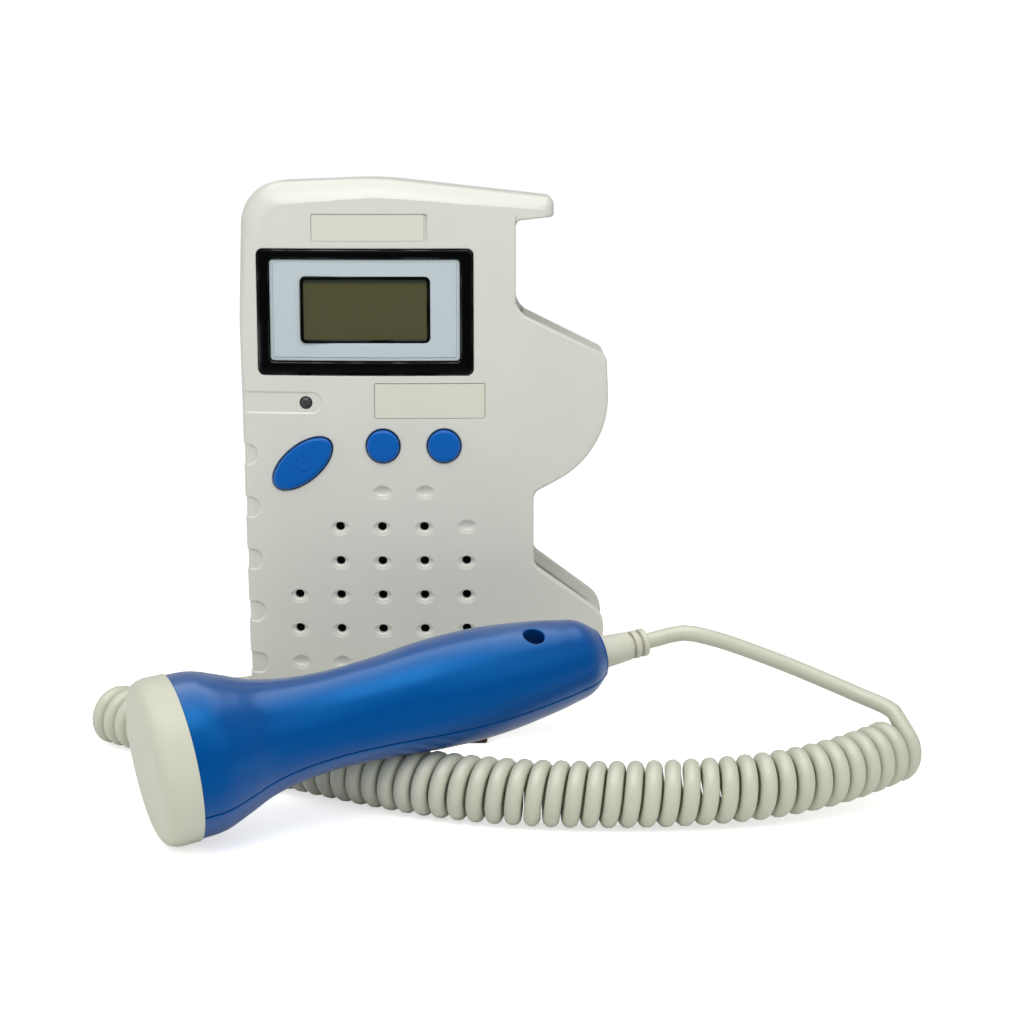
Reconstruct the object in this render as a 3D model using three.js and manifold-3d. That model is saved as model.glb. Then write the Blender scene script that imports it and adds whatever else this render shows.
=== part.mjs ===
// Fetal doppler monitor: a hand unit that stands on its base, with its probe and curly cord in front.
// Millimetres, +Z up, +Y towards the back. X is measured from the middle of the front panel, Y from
// the crest of the front face and Z from the floor, until the whole model is centred at the end.

import * as THREE from 'three';
import { NURBSCurve } from 'three/addons/curves/NURBSCurve.js';
import { mergeVertices } from 'three/addons/utils/BufferGeometryUtils.js';
import Module from 'manifold-3d';

const wasm = await Module();
wasm.setup();

// Clearances
const restGap = 0.3; // between pieces that touch
const slideGap = 0.35; // round a button in its hole
const overrun = 5; // how far a cutting shape runs past what it cuts

// Case
const caseWidth = 107.5; // left side to the rim of the dock lobes
const caseHeight = 165.6;
const caseDepth = 37;
const footStand = 1.6; // height of the case above the floor
const faceRadius = 260; // the front face is part of an upright cylinder
const faceStep = 12; // width of one facet of that cylinder
const faceWall = 2.2;
const backWall = 2.2;
const sideWall = 3.2;
const topWall = 6.3;
const baseWall = 2.6;
const seamDepth = 18.5; // from the front crest to the joint between the shells
const frontBevelDepth = 7;
const frontBevelInset = 4.8;
const backBevelDepth = 3;
const backBevelInset = 2.4;
const frontLobeWall = 3;
const backLobeWall = 3.5;
const lobeLip = 3;

// The outline of the case seen from the front, anticlockwise from the lower left corner: place as
// shares of its width and height, and corner radius as a share of its width.
const caseCornerShares = {
  baseLeft: [0.013, 0, 0.084],
  baseRight: [0.675, 0, 0.023],
  baseRise: [0.7, 0.028, 0.028],
  lowerLobeTip: [0.979, 0.1, 0.03],
  lowerLobeTop: [0.992, 0.223, 0.074],
  lowerNeck: [0.795, 0.318, 0.037],
  upperNeck: [0.795, 0.448, 0.028],
  upperLobeTip: [1, 0.517, 0.25],
  upperLobeTop: [0.993, 0.69, 0.037],
  dockTop: [0.746, 0.769, 0.056],
  visorRoot: [0.746, 0.925, 0.032],
  visorTip: [0.847, 0.932, 0.011],
  visorTop: [0.847, 0.966, 0.022],
  crest: [0.374, 1, 0.93],
  topLeft: [0.0075, 0.991, 0.116],
  leftSide: [0, 0.755, 1.4],
};
// The dock's corners have a crisp edge in front, where the others have the full bevel.
const crispCorners = [
  'lowerLobeTip', 'lowerLobeTop', 'lowerNeck', 'upperNeck', 'upperLobeTip', 'upperLobeTop', 'dockTop',
  'visorRoot', 'visorTip',
];
const crispInset = 1.2;
const panelLeftShare = 0.411; // the panel's middle line, from the left side, as a share of the width
const filletShare = 0.85; // how far a bevel may use up a rounded corner
const sharedSideShare = 0.98; // how much of a side its two roundings may use up
const frontBevelShares = [[0, 1], [0.4, 0.4], [1, 0]];
const backBevelShares = [[0, 0], [0.65, 0.35], [1, 1]];

// Display
const displayCentreShares = [-0.069, 0.77];
const displayWidth = 62;
const displayHeight = 36.5;
const displayCorner = 1.6;
const displayThickness = 2;
const displayRimWidth = 3.7;
const displayRimRise = 0.5; // the rim stands proud of the face
const maskSink = 0.5;
const lcdWidth = 37.6;
const lcdHeight = 19;
const lcdBorder = 1.5;
const lcdThickness = 1.6;
const lcdDrop = 0.4; // the glass above the middle of the mask
const holderWall = 1.6;

// Plates and lamp
const titleWidth = 33;
const titleHeight = 8;
const titleGap = 1.6; // above the display
const brandWidth = 33.4;
const brandHeight = 10.4;
const brandGap = 2.6; // below the display
const brandOffset = 18.5; // from the middle of the display towards the dock
const plateThickness = 0.7;
const plateCorner = 0.6;
const lampRadius = 1.9;
const lampRise = 0.8;
const lampOffset = 17.4; // from the middle of the display towards the left
const lampDrop = 8.2; // below the display
const lampPanelWidth = 22.5;
const lampPanelHeight = 6;
const lampPanelSink = 0.4;

// Buttons
const buttonRadius = 5;
const buttonRise = 1.3;
const buttonSpacing = 17.7;
const buttonDrop = 7.7; // from the brand plate to the middle of the round buttons
const buttonTravel = 1;
const buttonDome = 0.5;
const buttonOffset = 4.9; // first round button, from the middle of the display
const flangeWidth = 1.2;
const flangeThickness = 1.2;
const stemRadius = 2;
const powerHalfLength = 10.4;
const powerHalfWidth = 5.1;
const powerTilt = 39.5; // degrees
const powerOffset = 18.7; // from the middle of the display towards the left
const powerDrop = 5.3; // below the round buttons
const switchSize = 6;
const switchHeight = 3.4;
const switchNubRadius = 1.6;
const switchNubHeight = 1;

// Main board
const boardFront = 12; // from the front crest
const boardThickness = 1.6;
const boardMargin = 3.5;
const standoffRadius = 2;

// Speaker and its grille
const grilleColumns = [-2, -1, 0, 1, 2];
const grillePitchX = 12.3;
const grillePitchZ = 10.2;
const grilleDrop = 23.5; // from the round buttons to the first full row
const grilleOffset = 4.1; // from the middle of the display
// Each row: its place in pitches below the first, then what stands in each column:
// o an open hole in its dimple, d a dimple alone, . plain.
const grilleRows = [[-1, '..dd.'], [0, '.oood'], [1, '.oooo'], [2, 'ooooo'], [3, 'ooooo'], [4, 'dd...']];
const grilleHoleRadius = 1.2;
const dimpleHalfWidth = 2.9;
const dimpleHalfHeight = 1.9;
const dimpleDepth = 0.7;
const speakerRadius = 25;
const speakerRimWidth = 3;
const speakerRimDepth = 1.6;
const speakerConeDepth = 5;
const speakerMagnetRadius = 11;
const speakerMagnetDepth = 4.5;
const clothThickness = 0.3;
const clothInset = 0.6;
const speakerSheet = 0.8;
const collarWall = 1.6;

// Grip notches down the left edge of the face
const notchCount = 5;
const notchPitch = 15.6;
const notchHeight = 6.2;
const notchReach = 4.6;
const notchSink = 0.8;
const notchTopShare = 0.517;

// Cells and their bay
const cellRadius = 7.25;
const cellLength = 49.2;
const cellNubRadius = 2.7;
const cellNubLength = 1.3;
const contactThickness = 0.5;
const contactReach = 3;
const contactInset = 1.5;
const bayWall = 1.3;
const bayOffset = -3; // middle of the bay from the middle line
const bayBottom = 9; // above the floor
const springTipRadius = 2.2;

// Battery door
const doorThickness = 1.8;
const doorLap = 2.2; // how far the door reaches past the bay on each side
const doorGap = 0.35;
const tabWidth = 6;
const tabThickness = 1.2;
const tabReach = 2;
const tabSpacing = 34;
const latchWidth = 9;
const latchThickness = 1.2;
const gripRidgeCount = 4;
const gripRidgePitch = 2.2;
const gripRidgeWidth = 14;
const gripRidgeHeight = 1;
const gripRidgeRise = 0.6;
const gripPanelMargin = 1;

// Screws and bosses
const bossRadius = 4.2;
const frontBossRadius = 3.2;
const screwHeadRadius = 2.6;
const screwHeadDepth = 1.9;
const screwShankRadius = 1.2;
const screwReach = 7; // how far the screw goes past the seam
const screwSeat = 9.5; // head's seat, from the back face
const screwSlotWidth = 0.8;
const screwSlotDepth = 0.8;
const upperScrewShares = [-0.32, 0.256, 0.905]; // left, right and height
const lowerScrewShares = [-0.32, 0.262, 0.285];

// Feet
const footWidth = 7.5;
const footLength = 8;
const footSink = 0.9;
const footInsetX = 4.6;
const footInsetFront = 2.6;
const footInsetBack = 3;

// Cord
const cordRadius = 2;
const cordSides = 8;
const cordStep = 8;
const gripCollarRadius = 4.6;
const gripCollarLength = 1.6;
const gripBaseRadius = 4.4;
const gripTipRadius = 3.6;
const gripBodyLength = 8;
const gripRingLength = 1.6;
const gripSlotLength = 0.8;
const gripSlotRadius = 2.7;
const gripNeckRadius = 2.8;
const gripNeckLength = 3.4;
const gripSides = 12;
const unitGripHeight = 12;

// Probe, along its own length from the face of the head
const probeHeadRadius = 22;
const probeLength = 127;
const capLength = 9.3;
const capWall = 1.8;
const capFaceWall = 1.4;
const capEdgeShares = [[0, 0.886], [0.16, 0.955], [0.43, 0.995], [1, 0.991]];
const shellWall = 2;
// The handle's outline: place as a share of the shells' length and radius as a share of the head's.
const handleShares = [
  [0, 0.989], [0.056, 0.955], [0.116, 0.832], [0.174, 0.7], [0.24, 0.618], [0.326, 0.571],
  [0.45, 0.583], [0.6, 0.643], [0.728, 0.636], [0.83, 0.571], [0.91, 0.5], [0.968, 0.418],
  [1, 0.295],
];
const probeSides = 26;
const probeYaw = 22; // degrees the handle swings towards the case
const probeRise = 8; // degrees the handle rises from its head
const probeRoll = 31; // degrees the seam is turned towards the viewer
const probeFacePlace = [-58.3, -89];
const probeScrewShare = 0.84;
const probeScrewRadius = 2.4;
const probeScrewWell = 2.9;
const probeScrewSeat = 4; // head's seat above the seam
const probeBossRadius = 4.2;
const transducerRadius = 15;
const transducerThickness = 1.6;
const backingRadius = 14;
const backingLength = 9;
const probeBoardStartShare = 0.36;
const probeBoardEndShare = 0.72;
const probeBoardHalfWidth = 8;
const probeRibHeight = 3;

// Where the middle line of the coil runs, from the probe's lead to the hand unit, and where the lead
// lies. These points are placed by hand along the cord's real route.
const coilRoute = [
  [139.6, -50.6, 14.2], [129, -59, 12.5], [113, -68.4, 10.8], [92, -73.3, 9.5], [66, -75, 8.8],
  [38, -73.6, 8.75], [14, -66, 8.75], [-10, -52, 8.75], [-34, -35, 8.75], [-60, -15, 8.75],
  [-76, -2, 8.75], [-84, 4.5, 8.75],
];
const probeLeadRoute = [
  [82.2, -36.5, 43.3], [92.2, -36.4, 41.2], [101.6, -36.8, 38], [111.2, -37.8, 34.5], [120.4, -39.8, 31],
  [129.5, -43, 27.6],
];
const unitLeadRoute = [[-74.4, 12.6, 2.4], [-69.5, 16.2, 5.4]];
const coilRadius = 6.65; // to the middle of the wire
const coilCurls = 51;
const coilSmoothness = 3; // degree of the spline through the coil's route
const coilStartTurn = -0.15; // the cord comes in over the front of the coil
const coilEndTurn = 0.25; // and leaves at the floor
const coilSteps = 8;
const coilSides = 5;
const coilMeasureSteps = 4; // points measured on each step of a curl

const white = 0xd4d5c8;
const blue = 0x0f5fb4;
const cream = 0xd9dcc9;
const cordColour = 0xbec0ac;

const model = new THREE.Group();
const cords = new THREE.Group();
const doppler = new THREE.Group();
doppler.add(model, cords);

// Shapes

function cornerPlace(name) {
  const [acrossShare, upShare, roundShare] = caseCornerShares[name];
  return {
    x: (acrossShare - panelLeftShare) * caseWidth,
    z: footStand + upShare * caseHeight,
    radius: roundShare * caseWidth,
    limit: crispCorners.includes(name) ? crispInset : frontBevelInset,
  };
}

// The two sides that meet in a corner of an outline, and how far its rounding reaches along them.
function cornerSides(corners, index) {
  const corner = corners[index];
  const before = corners[(index + corners.length - 1) % corners.length];
  const after = corners[(index + 1) % corners.length];
  const arriving = new THREE.Vector2(corner.x - before.x, corner.z - before.z).normalize();
  const leaving = new THREE.Vector2(after.x - corner.x, after.z - corner.z).normalize();
  const turn = Math.atan2(arriving.cross(leaving), arriving.dot(leaving));
  const length = Math.hypot(after.x - corner.x, after.z - corner.z);
  return { arriving, turn, length, tangent: corner.radius * Math.tan(Math.abs(turn) / 2) };
}

// A rounded outline from corners given anticlockwise seen from the front. Where two roundings would
// meet on the side between them, they share it. Each point keeps the way that faces outwards there,
// and how far a bevel may draw it in.
function roundedOutline(corners, arcStep = Math.PI / 8) {
  const outline = [];
  const sides = corners.map((_, index) => cornerSides(corners, index));
  const room = sides.map(({ length, tangent }, index) => {
    const next = sides[(index + 1) % sides.length];
    return Math.min(1, (length * sharedSideShare) / Math.max(tangent + next.tangent, restGap));
  });
  corners.forEach((corner, index) => {
    const { arriving, turn, tangent: fullTangent } = sides[index];
    const fit = Math.min(room[index], room[(index + corners.length - 1) % corners.length]);
    const side = Math.sign(turn);
    const radius = corner.radius * fit;
    const limit = corner.limit ?? Infinity;
    const tangent = fullTangent * fit;
    const centreX = corner.x - arriving.x * tangent - arriving.y * radius * side;
    const centreZ = corner.z - arriving.y * tangent + arriving.x * radius * side;
    const steps = Math.max(1, Math.ceil(Math.abs(turn) / arcStep));
    for (let step = 0; step <= steps; step += 1) {
      const angle = (turn * step) / steps;
      const way = arriving.clone().rotateAround(new THREE.Vector2(), angle);
      outline.push({
        x: centreX + way.y * radius * side,
        z: centreZ - way.x * radius * side,
        outX: way.y,
        outZ: -way.x,
        limit: side > 0 ? Math.min(limit, radius * filletShare) : limit,
      });
    }
  });
  return outline;
}

// A prism of an outline in X and Z, with layers from front to back that may be drawn in.
function layeredPrism(outline, layers) {
  const count = outline.length;
  const positions = [];
  for (const layer of layers) {
    for (const point of outline) {
      const inset = Math.min(layer.inset, point.limit);
      positions.push(point.x - point.outX * inset, layer.y, point.z - point.outZ * inset);
    }
  }
  const contour = (layer) => outline.map((point, index) => {
    const at = 3 * (layer * count + index);
    return new THREE.Vector2(positions[at], positions[at + 2]);
  });
  const indices = [];
  const last = layers.length - 1;
  for (const [a, b, c] of THREE.ShapeUtils.triangulateShape(contour(0), [])) indices.push(a, b, c);
  for (const [a, b, c] of THREE.ShapeUtils.triangulateShape(contour(last), [])) {
    indices.push(last * count + a, last * count + c, last * count + b);
  }
  for (let layer = 0; layer < last; layer += 1) {
    for (let index = 0; index < count; index += 1) {
      const a = layer * count + index;
      const b = layer * count + ((index + 1) % count);
      indices.push(a, a + count, b, b, a + count, b + count);
    }
  }
  const geometry = new THREE.BufferGeometry();
  geometry.setAttribute('position', new THREE.Float32BufferAttribute(positions, 3));
  geometry.setIndex(indices);
  return solidOf(geometry);
}

function slab(outline, front, back) {
  return layeredPrism(outline, [{ y: front, inset: 0 }, { y: back, inset: 0 }]);
}

function rectangle(centreX, centreZ, width, height, radius) {
  const [halfWidth, halfHeight] = [width / 2, height / 2];
  return roundedOutline([
    { x: centreX - halfWidth, z: centreZ - halfHeight, radius },
    { x: centreX + halfWidth, z: centreZ - halfHeight, radius },
    { x: centreX + halfWidth, z: centreZ + halfHeight, radius },
    { x: centreX - halfWidth, z: centreZ + halfHeight, radius },
  ], Math.PI / 4);
}

function ellipse(centreX, centreZ, halfWidth, halfHeight, tilt = 0, steps = 24) {
  const turn = THREE.MathUtils.degToRad(tilt);
  return Array.from({ length: steps }, (_, step) => {
    const angle = (2 * Math.PI * step) / steps;
    const [along, across] = [halfWidth * Math.cos(angle), halfHeight * Math.sin(angle)];
    const [outAlong, outAcross] = [Math.cos(angle) / halfWidth, Math.sin(angle) / halfHeight];
    const out = new THREE.Vector2(outAlong, outAcross).normalize();
    return {
      x: centreX + along * Math.cos(turn) - across * Math.sin(turn),
      z: centreZ + along * Math.sin(turn) + across * Math.cos(turn),
      outX: out.x * Math.cos(turn) - out.y * Math.sin(turn),
      outZ: out.x * Math.sin(turn) + out.y * Math.cos(turn),
      limit: halfHeight * filletShare,
    };
  });
}

// A closed mesh as a solid, its faces turned outwards.
function solidOf(geometry) {
  const bare = new THREE.BufferGeometry();
  const flat = geometry.index ? geometry.toNonIndexed() : geometry;
  bare.setAttribute('position', flat.getAttribute('position').clone());
  const merged = mergeVertices(bare);
  const place = merged.getAttribute('position');
  const triangles = [];
  let volume = 0;
  for (let at = 0; at < merged.index.count; at += 3) {
    const corner = [0, 1, 2].map((step) => merged.index.getX(at + step));
    if (new Set(corner).size < 3) continue;
    triangles.push(corner);
    const [a, b, c] = corner.map((index) => new THREE.Vector3().fromBufferAttribute(place, index));
    volume += a.dot(b.cross(c));
  }
  const ordered = volume < 0 ? triangles.map(([a, b, c]) => [a, c, b]) : triangles;
  return new wasm.Manifold(new wasm.Mesh({
    numProp: 3,
    vertProperties: new Float32Array(place.array),
    triVerts: new Uint32Array(ordered.flat()),
  }));
}

function geometryOf(solid) {
  const mesh = solid.getMesh();
  const geometry = new THREE.BufferGeometry();
  geometry.setAttribute('position', new THREE.BufferAttribute(new Float32Array(mesh.vertProperties), 3));
  geometry.setIndex(new THREE.BufferAttribute(new Uint32Array(mesh.triVerts), 1));
  const flat = geometry.toNonIndexed();
  flat.computeVertexNormals();
  return flat;
}

function block(left, right, front, back, bottom, top) {
  const geometry = new THREE.BoxGeometry(right - left, back - front, top - bottom);
  geometry.translate((left + right) / 2, (front + back) / 2, (bottom + top) / 2);
  return solidOf(geometry);
}

// A turned piece about an axis parallel to Y, from pairs of radius and depth.
function turnedY(centreX, centreZ, profile, sides = 20) {
  const points = profile.map(([radius, depth]) => new THREE.Vector2(radius, depth));
  const geometry = new THREE.LatheGeometry(points, sides);
  geometry.translate(centreX, 0, centreZ);
  return solidOf(geometry);
}

// A turned piece about an axis parallel to X, from pairs of radius and place along X.
function turnedX(centreY, centreZ, profile, sides = 20) {
  const points = profile.map(([radius, along]) => new THREE.Vector2(radius, along));
  const geometry = new THREE.LatheGeometry(points, sides);
  geometry.rotateZ(-Math.PI / 2);
  geometry.rotateX(Math.PI / sides);
  geometry.translate(0, centreY, centreZ);
  return solidOf(geometry);
}

function rodY(centreX, centreZ, radius, front, back, sides = 20) {
  return turnedY(centreX, centreZ, [[0, front], [radius, front], [radius, back], [0, back]], sides);
}

function joined(solids) {
  return solids.reduce((whole, solid) => whole.add(solid));
}

function cutBy(solid, cutters) {
  return cutters.reduce((whole, cutter) => whole.subtract(cutter), solid);
}

function addPiece(parent, name, shape, colour, roughness = 0.5, metalness = 0) {
  const geometry = shape.isBufferGeometry ? shape : geometryOf(shape);
  const material = new THREE.MeshStandardMaterial({ color: colour, roughness, metalness });
  const mesh = new THREE.Mesh(geometry, material);
  mesh.name = name;
  parent.add(mesh);
  return mesh;
}

// The curved front face

function faceDepth(x) {
  return faceRadius - Math.sqrt(faceRadius ** 2 - x ** 2);
}

// Everything behind the face when that is moved in by an inset.
function behindFace(inset) {
  const radius = faceRadius - inset;
  const reach = caseWidth;
  const steps = Math.ceil((2 * reach) / faceStep);
  const profile = new THREE.Shape();
  profile.moveTo(-reach, caseDepth + overrun);
  profile.lineTo(reach, caseDepth + overrun);
  for (let step = 0; step <= steps; step += 1) {
    const x = reach - (2 * reach * step) / steps;
    profile.lineTo(x, faceRadius - Math.sqrt(radius ** 2 - x ** 2));
  }
  const geometry = new THREE.ExtrudeGeometry(profile, {
    depth: caseHeight + footStand + 2 * overrun,
    bevelEnabled: false,
  });
  geometry.translate(0, 0, -overrun);
  return solidOf(geometry);
}

// A plate that follows the face, between two insets.
function facePlate(outline, frontInset, backInset) {
  const through = slab(outline, -overrun, caseDepth);
  return through.intersect(behindFace(frontInset)).subtract(behindFace(backInset));
}

// The places that pieces share

const neckX = cornerPlace('dockTop').x;
const leftX = cornerPlace('leftSide').x;
const caseTop = footStand + caseHeight;
const cavityLeft = cornerPlace('baseLeft').x + sideWall;
const cavityRight = neckX - backWall;
const cavityTop = caseTop - topWall;
const cavityBottom = footStand + baseWall;
const boardBack = boardFront + boardThickness;

const displayX = displayCentreShares[0] * caseWidth;
const displayZ = footStand + displayCentreShares[1] * caseHeight;
const displayTop = displayZ + displayHeight / 2;
const displayBottom = displayZ - displayHeight / 2;
const lcdZ = displayZ + lcdDrop;
const titleZ = displayTop + titleGap + titleHeight / 2;
const brandX = displayX + brandOffset;
const brandZ = displayBottom - brandGap - brandHeight / 2;
const lampX = displayX - lampOffset;
const lampZ = displayBottom - lampDrop;
const buttonZ = brandZ - brandHeight / 2 - buttonDrop;
const roundButtons = [
  { name: 'left', x: displayX + buttonOffset },
  { name: 'right', x: displayX + buttonOffset + buttonSpacing },
];
const powerX = displayX - powerOffset;
const powerZ = buttonZ - powerDrop;
const grilleX = displayX + grilleOffset;
const grilleZ = buttonZ - grilleDrop;
const speakerZ = grilleZ - 1.5 * grillePitchZ;
const boardBottom = powerZ - boardMargin;
const boardTop = displayTop - boardMargin / 2;
const boardLeft = cavityLeft + restGap;
const boardRight = cavityRight - restGap;
const switchBack = boardFront - restGap;
const switchFront = switchBack - switchHeight;
const standoffPlaces = [
  { x: boardLeft + 2 * standoffRadius, z: powerZ + powerHalfLength },
  { x: boardRight - 2 * standoffRadius, z: boardBottom + 2 * standoffRadius },
  { x: boardLeft + 2 * standoffRadius, z: boardTop - 2 * standoffRadius },
  { x: boardRight - 2 * standoffRadius, z: boardTop - 2 * standoffRadius },
];
const stemEnd = switchFront - switchNubHeight - buttonTravel - restGap;

const screwPlaces = [upperScrewShares, lowerScrewShares].flatMap(([left, right, height]) => [
  { x: left * caseWidth, z: footStand + height * caseHeight },
  { x: right * caseWidth, z: footStand + height * caseHeight },
]);

const bayHalfLength = (cellLength + cellNubLength) / 2 + contactReach + contactThickness + 2 * restGap;
const bayLeft = bayOffset - bayHalfLength;
const bayRight = bayOffset + bayHalfLength;
const bayTop = bayBottom + 4 * cellRadius + 3 * restGap;
const doorInner = caseDepth - doorThickness;
const cellY = doorInner - restGap - cellRadius;
const bayFront = cellY - cellRadius - restGap;
const doorLeft = bayLeft - doorLap;
const doorRight = bayRight + doorLap;
const doorBottom = bayBottom - doorLap;
const doorTop = bayTop + doorLap;

const grillePlaces = grilleRows.flatMap(([row, marks]) => grilleColumns.flatMap((column, index) => {
  if (marks[index] === '.') return [];
  return [{
    x: grilleX + column * grillePitchX,
    z: grilleZ - row * grillePitchZ,
    open: marks[index] === 'o',
  }];
}));

const footPlaces = [footInsetFront, caseDepth - footInsetBack - footLength].flatMap((front) => [
  { left: cornerPlace('baseLeft').x + cornerPlace('baseLeft').radius + footInsetX - footWidth, front },
  { left: cornerPlace('baseRight').x - footInsetX - footWidth / 2, front },
]);

// Case

const caseOutline = roundedOutline(Object.keys(caseCornerShares).map(cornerPlace));

function caseBody(front, back) {
  const layers = [{ y: -overrun, inset: frontBevelInset }];
  for (const [depthShare, insetShare] of frontBevelShares) {
    layers.push({ y: depthShare * frontBevelDepth, inset: insetShare * frontBevelInset });
  }
  for (const [depthShare, insetShare] of backBevelShares) {
    layers.push({
      y: caseDepth - (1 - depthShare) * backBevelDepth,
      inset: insetShare * backBevelInset,
    });
  }
  const whole = layeredPrism(caseOutline, layers).intersect(behindFace(0));
  const reach = caseWidth + caseHeight;
  return whole.intersect(block(-reach, reach, front, back, -overrun, reach));
}

function cavity(front, back) {
  const slope = cornerPlace('baseRise');
  const tip = cornerPlace('lowerLobeTip');
  const rise = ((tip.z - slope.z) * (cavityRight - slope.x)) / (tip.x - slope.x);
  const corner = cornerPlace('topLeft').radius - sideWall;
  const outline = roundedOutline([
    { x: cavityLeft, z: cavityBottom, radius: sideWall },
    { x: cornerPlace('baseRight').x - sideWall, z: cavityBottom, radius: backWall },
    { x: cavityRight, z: slope.z + rise + sideWall, radius: backWall },
    { x: cavityRight, z: cavityTop - backWall, radius: backWall },
    { x: cavityLeft, z: cavityTop, radius: corner },
  ]);
  return slab(outline, front, back).intersect(behindFace(faceWall));
}

// The open channel at the right, where the probe's handle is docked.
function dockChannel(front, back) {
  const reach = caseWidth;
  const channel = block(neckX, reach, front, back, -overrun, cornerPlace('visorRoot').z);
  return channel.intersect(behindFace(frontLobeWall));
}

function screwPilot(place) {
  const pilot = screwShankRadius + restGap;
  return rodY(place.x, place.z, pilot, seamDepth - screwReach - 2 * restGap, seamDepth + overrun, 16);
}

function footPocket(place) {
  return block(
    place.left - restGap,
    place.left + footWidth + restGap,
    place.front - restGap,
    place.front + footLength + restGap,
    footStand - overrun,
    footStand + footSink,
  );
}

function cordHole() {
  const radius = gripNeckRadius + restGap;
  return turnedX(seamDepth, unitGripHeight, [
    [0, leftX - overrun],
    [radius, leftX - overrun],
    [radius, cavityLeft + overrun],
    [0, cavityLeft + overrun],
  ], 16);
}

function notchCutter(index) {
  const z = footStand + notchTopShare * caseHeight - index * notchPitch;
  const radius = notchHeight / 2;
  const outline = roundedOutline([
    { x: leftX - overrun, z: z - radius, radius: restGap },
    { x: leftX + notchReach + radius / 2, z: z - radius, radius: radius * filletShare },
    { x: leftX + notchReach + radius / 2, z: z + radius, radius: radius * filletShare },
    { x: leftX - overrun, z: z + radius, radius: restGap },
  ], Math.PI / 6);
  return slab(outline, -overrun, seamDepth).subtract(behindFace(notchSink));
}

function grilleCutters() {
  const cutters = [];
  for (const place of grillePlaces) {
    const dimple = ellipse(place.x, place.z, dimpleHalfWidth, dimpleHalfHeight, 0, 8);
    const front = faceDepth(place.x) - restGap;
    cutters.push(layeredPrism(dimple, [
      { y: front, inset: 0 },
      { y: front + restGap + dimpleDepth, inset: dimpleDepth },
    ]));
    if (place.open) cutters.push(rodY(place.x, place.z, grilleHoleRadius, -overrun, speakerFront, 6));
  }
  return cutters;
}

const speakerFront = faceDepth(Math.abs(grilleX) + speakerRadius) + faceWall + restGap;

function buildFrontShell() {
  const seam = seamDepth - restGap / 2;
  const hollow = cavity(-overrun, seam + overrun);
  let shell = cutBy(caseBody(-overrun, seam), [hollow, dockChannel(-overrun, seam + overrun)]);

  const pad = rectangle(displayX, displayZ, displayWidth + 2 * faceWall, displayHeight + 2 * faceWall,
    displayCorner);
  const bosses = screwPlaces.map((place) => (
    rodY(place.x, place.z, frontBossRadius, faceDepth(place.x) + faceWall / 2, seam)
  ));
  const standoffs = standoffPlaces.map((place) => (
    rodY(place.x, place.z, standoffRadius, faceDepth(place.x) + faceWall / 2, boardFront - restGap, 12)
  ));
  const collarBack = speakerFront + clothThickness + restGap + speakerRimDepth;
  const collar = rodY(grilleX, speakerZ, speakerRadius + restGap + collarWall, speakerFront - faceWall,
    collarBack).subtract(rodY(grilleX, speakerZ, speakerRadius + restGap, -overrun, boardFront));
  shell = joined([
    shell,
    facePlate(pad, faceWall / 2, displayThickness + faceWall),
    collar.intersect(behindFace(faceWall / 2)),
    ...bosses,
    ...standoffs,
  ]);

  const displayPocket = rectangle(displayX, displayZ, displayWidth + 2 * restGap,
    displayHeight + 2 * restGap, displayCorner);
  const holderHole = rectangle(displayX, lcdZ, lcdWidth + 2 * restGap, lcdHeight + 2 * restGap, displayCorner / 2);
  const titlePocket = rectangle(displayX, titleZ, titleWidth + 2 * restGap, titleHeight + 2 * restGap,
    plateCorner);
  const brandPocket = rectangle(brandX, brandZ, brandWidth + 2 * restGap, brandHeight + 2 * restGap,
    plateCorner);
  const lampRight = lampX + lampPanelHeight / 2;
  const lampPanel = rectangle(lampRight - lampPanelWidth / 2, lampZ, lampPanelWidth, lampPanelHeight,
    lampPanelHeight / 2 * filletShare);
  const cutters = [
    facePlate(displayPocket, -overrun, displayThickness + restGap),
    slab(holderHole, -overrun, boardFront),
    facePlate(titlePocket, -overrun, plateThickness + restGap),
    facePlate(brandPocket, -overrun, plateThickness + restGap),
    facePlate(lampPanel, -overrun, lampPanelSink),
    rodY(lampX, lampZ, lampRadius + restGap, -overrun, boardFront, 16),
    ...roundButtons.map((button) => (
      rodY(button.x, buttonZ, buttonRadius + slideGap, -overrun, boardFront - overrun / 2, 24)
    )),
    slab(ellipse(powerX, powerZ, powerHalfLength + slideGap, powerHalfWidth + slideGap, powerTilt),
      -overrun, boardFront - overrun / 2),
    ...grilleCutters(),
    ...Array.from({ length: notchCount }, (_, index) => notchCutter(index)),
    ...screwPlaces.map(screwPilot),
    ...footPlaces.slice(0, 2).map(footPocket),
    cordHole(),
  ];
  return cutBy(shell, cutters);
}

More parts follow.
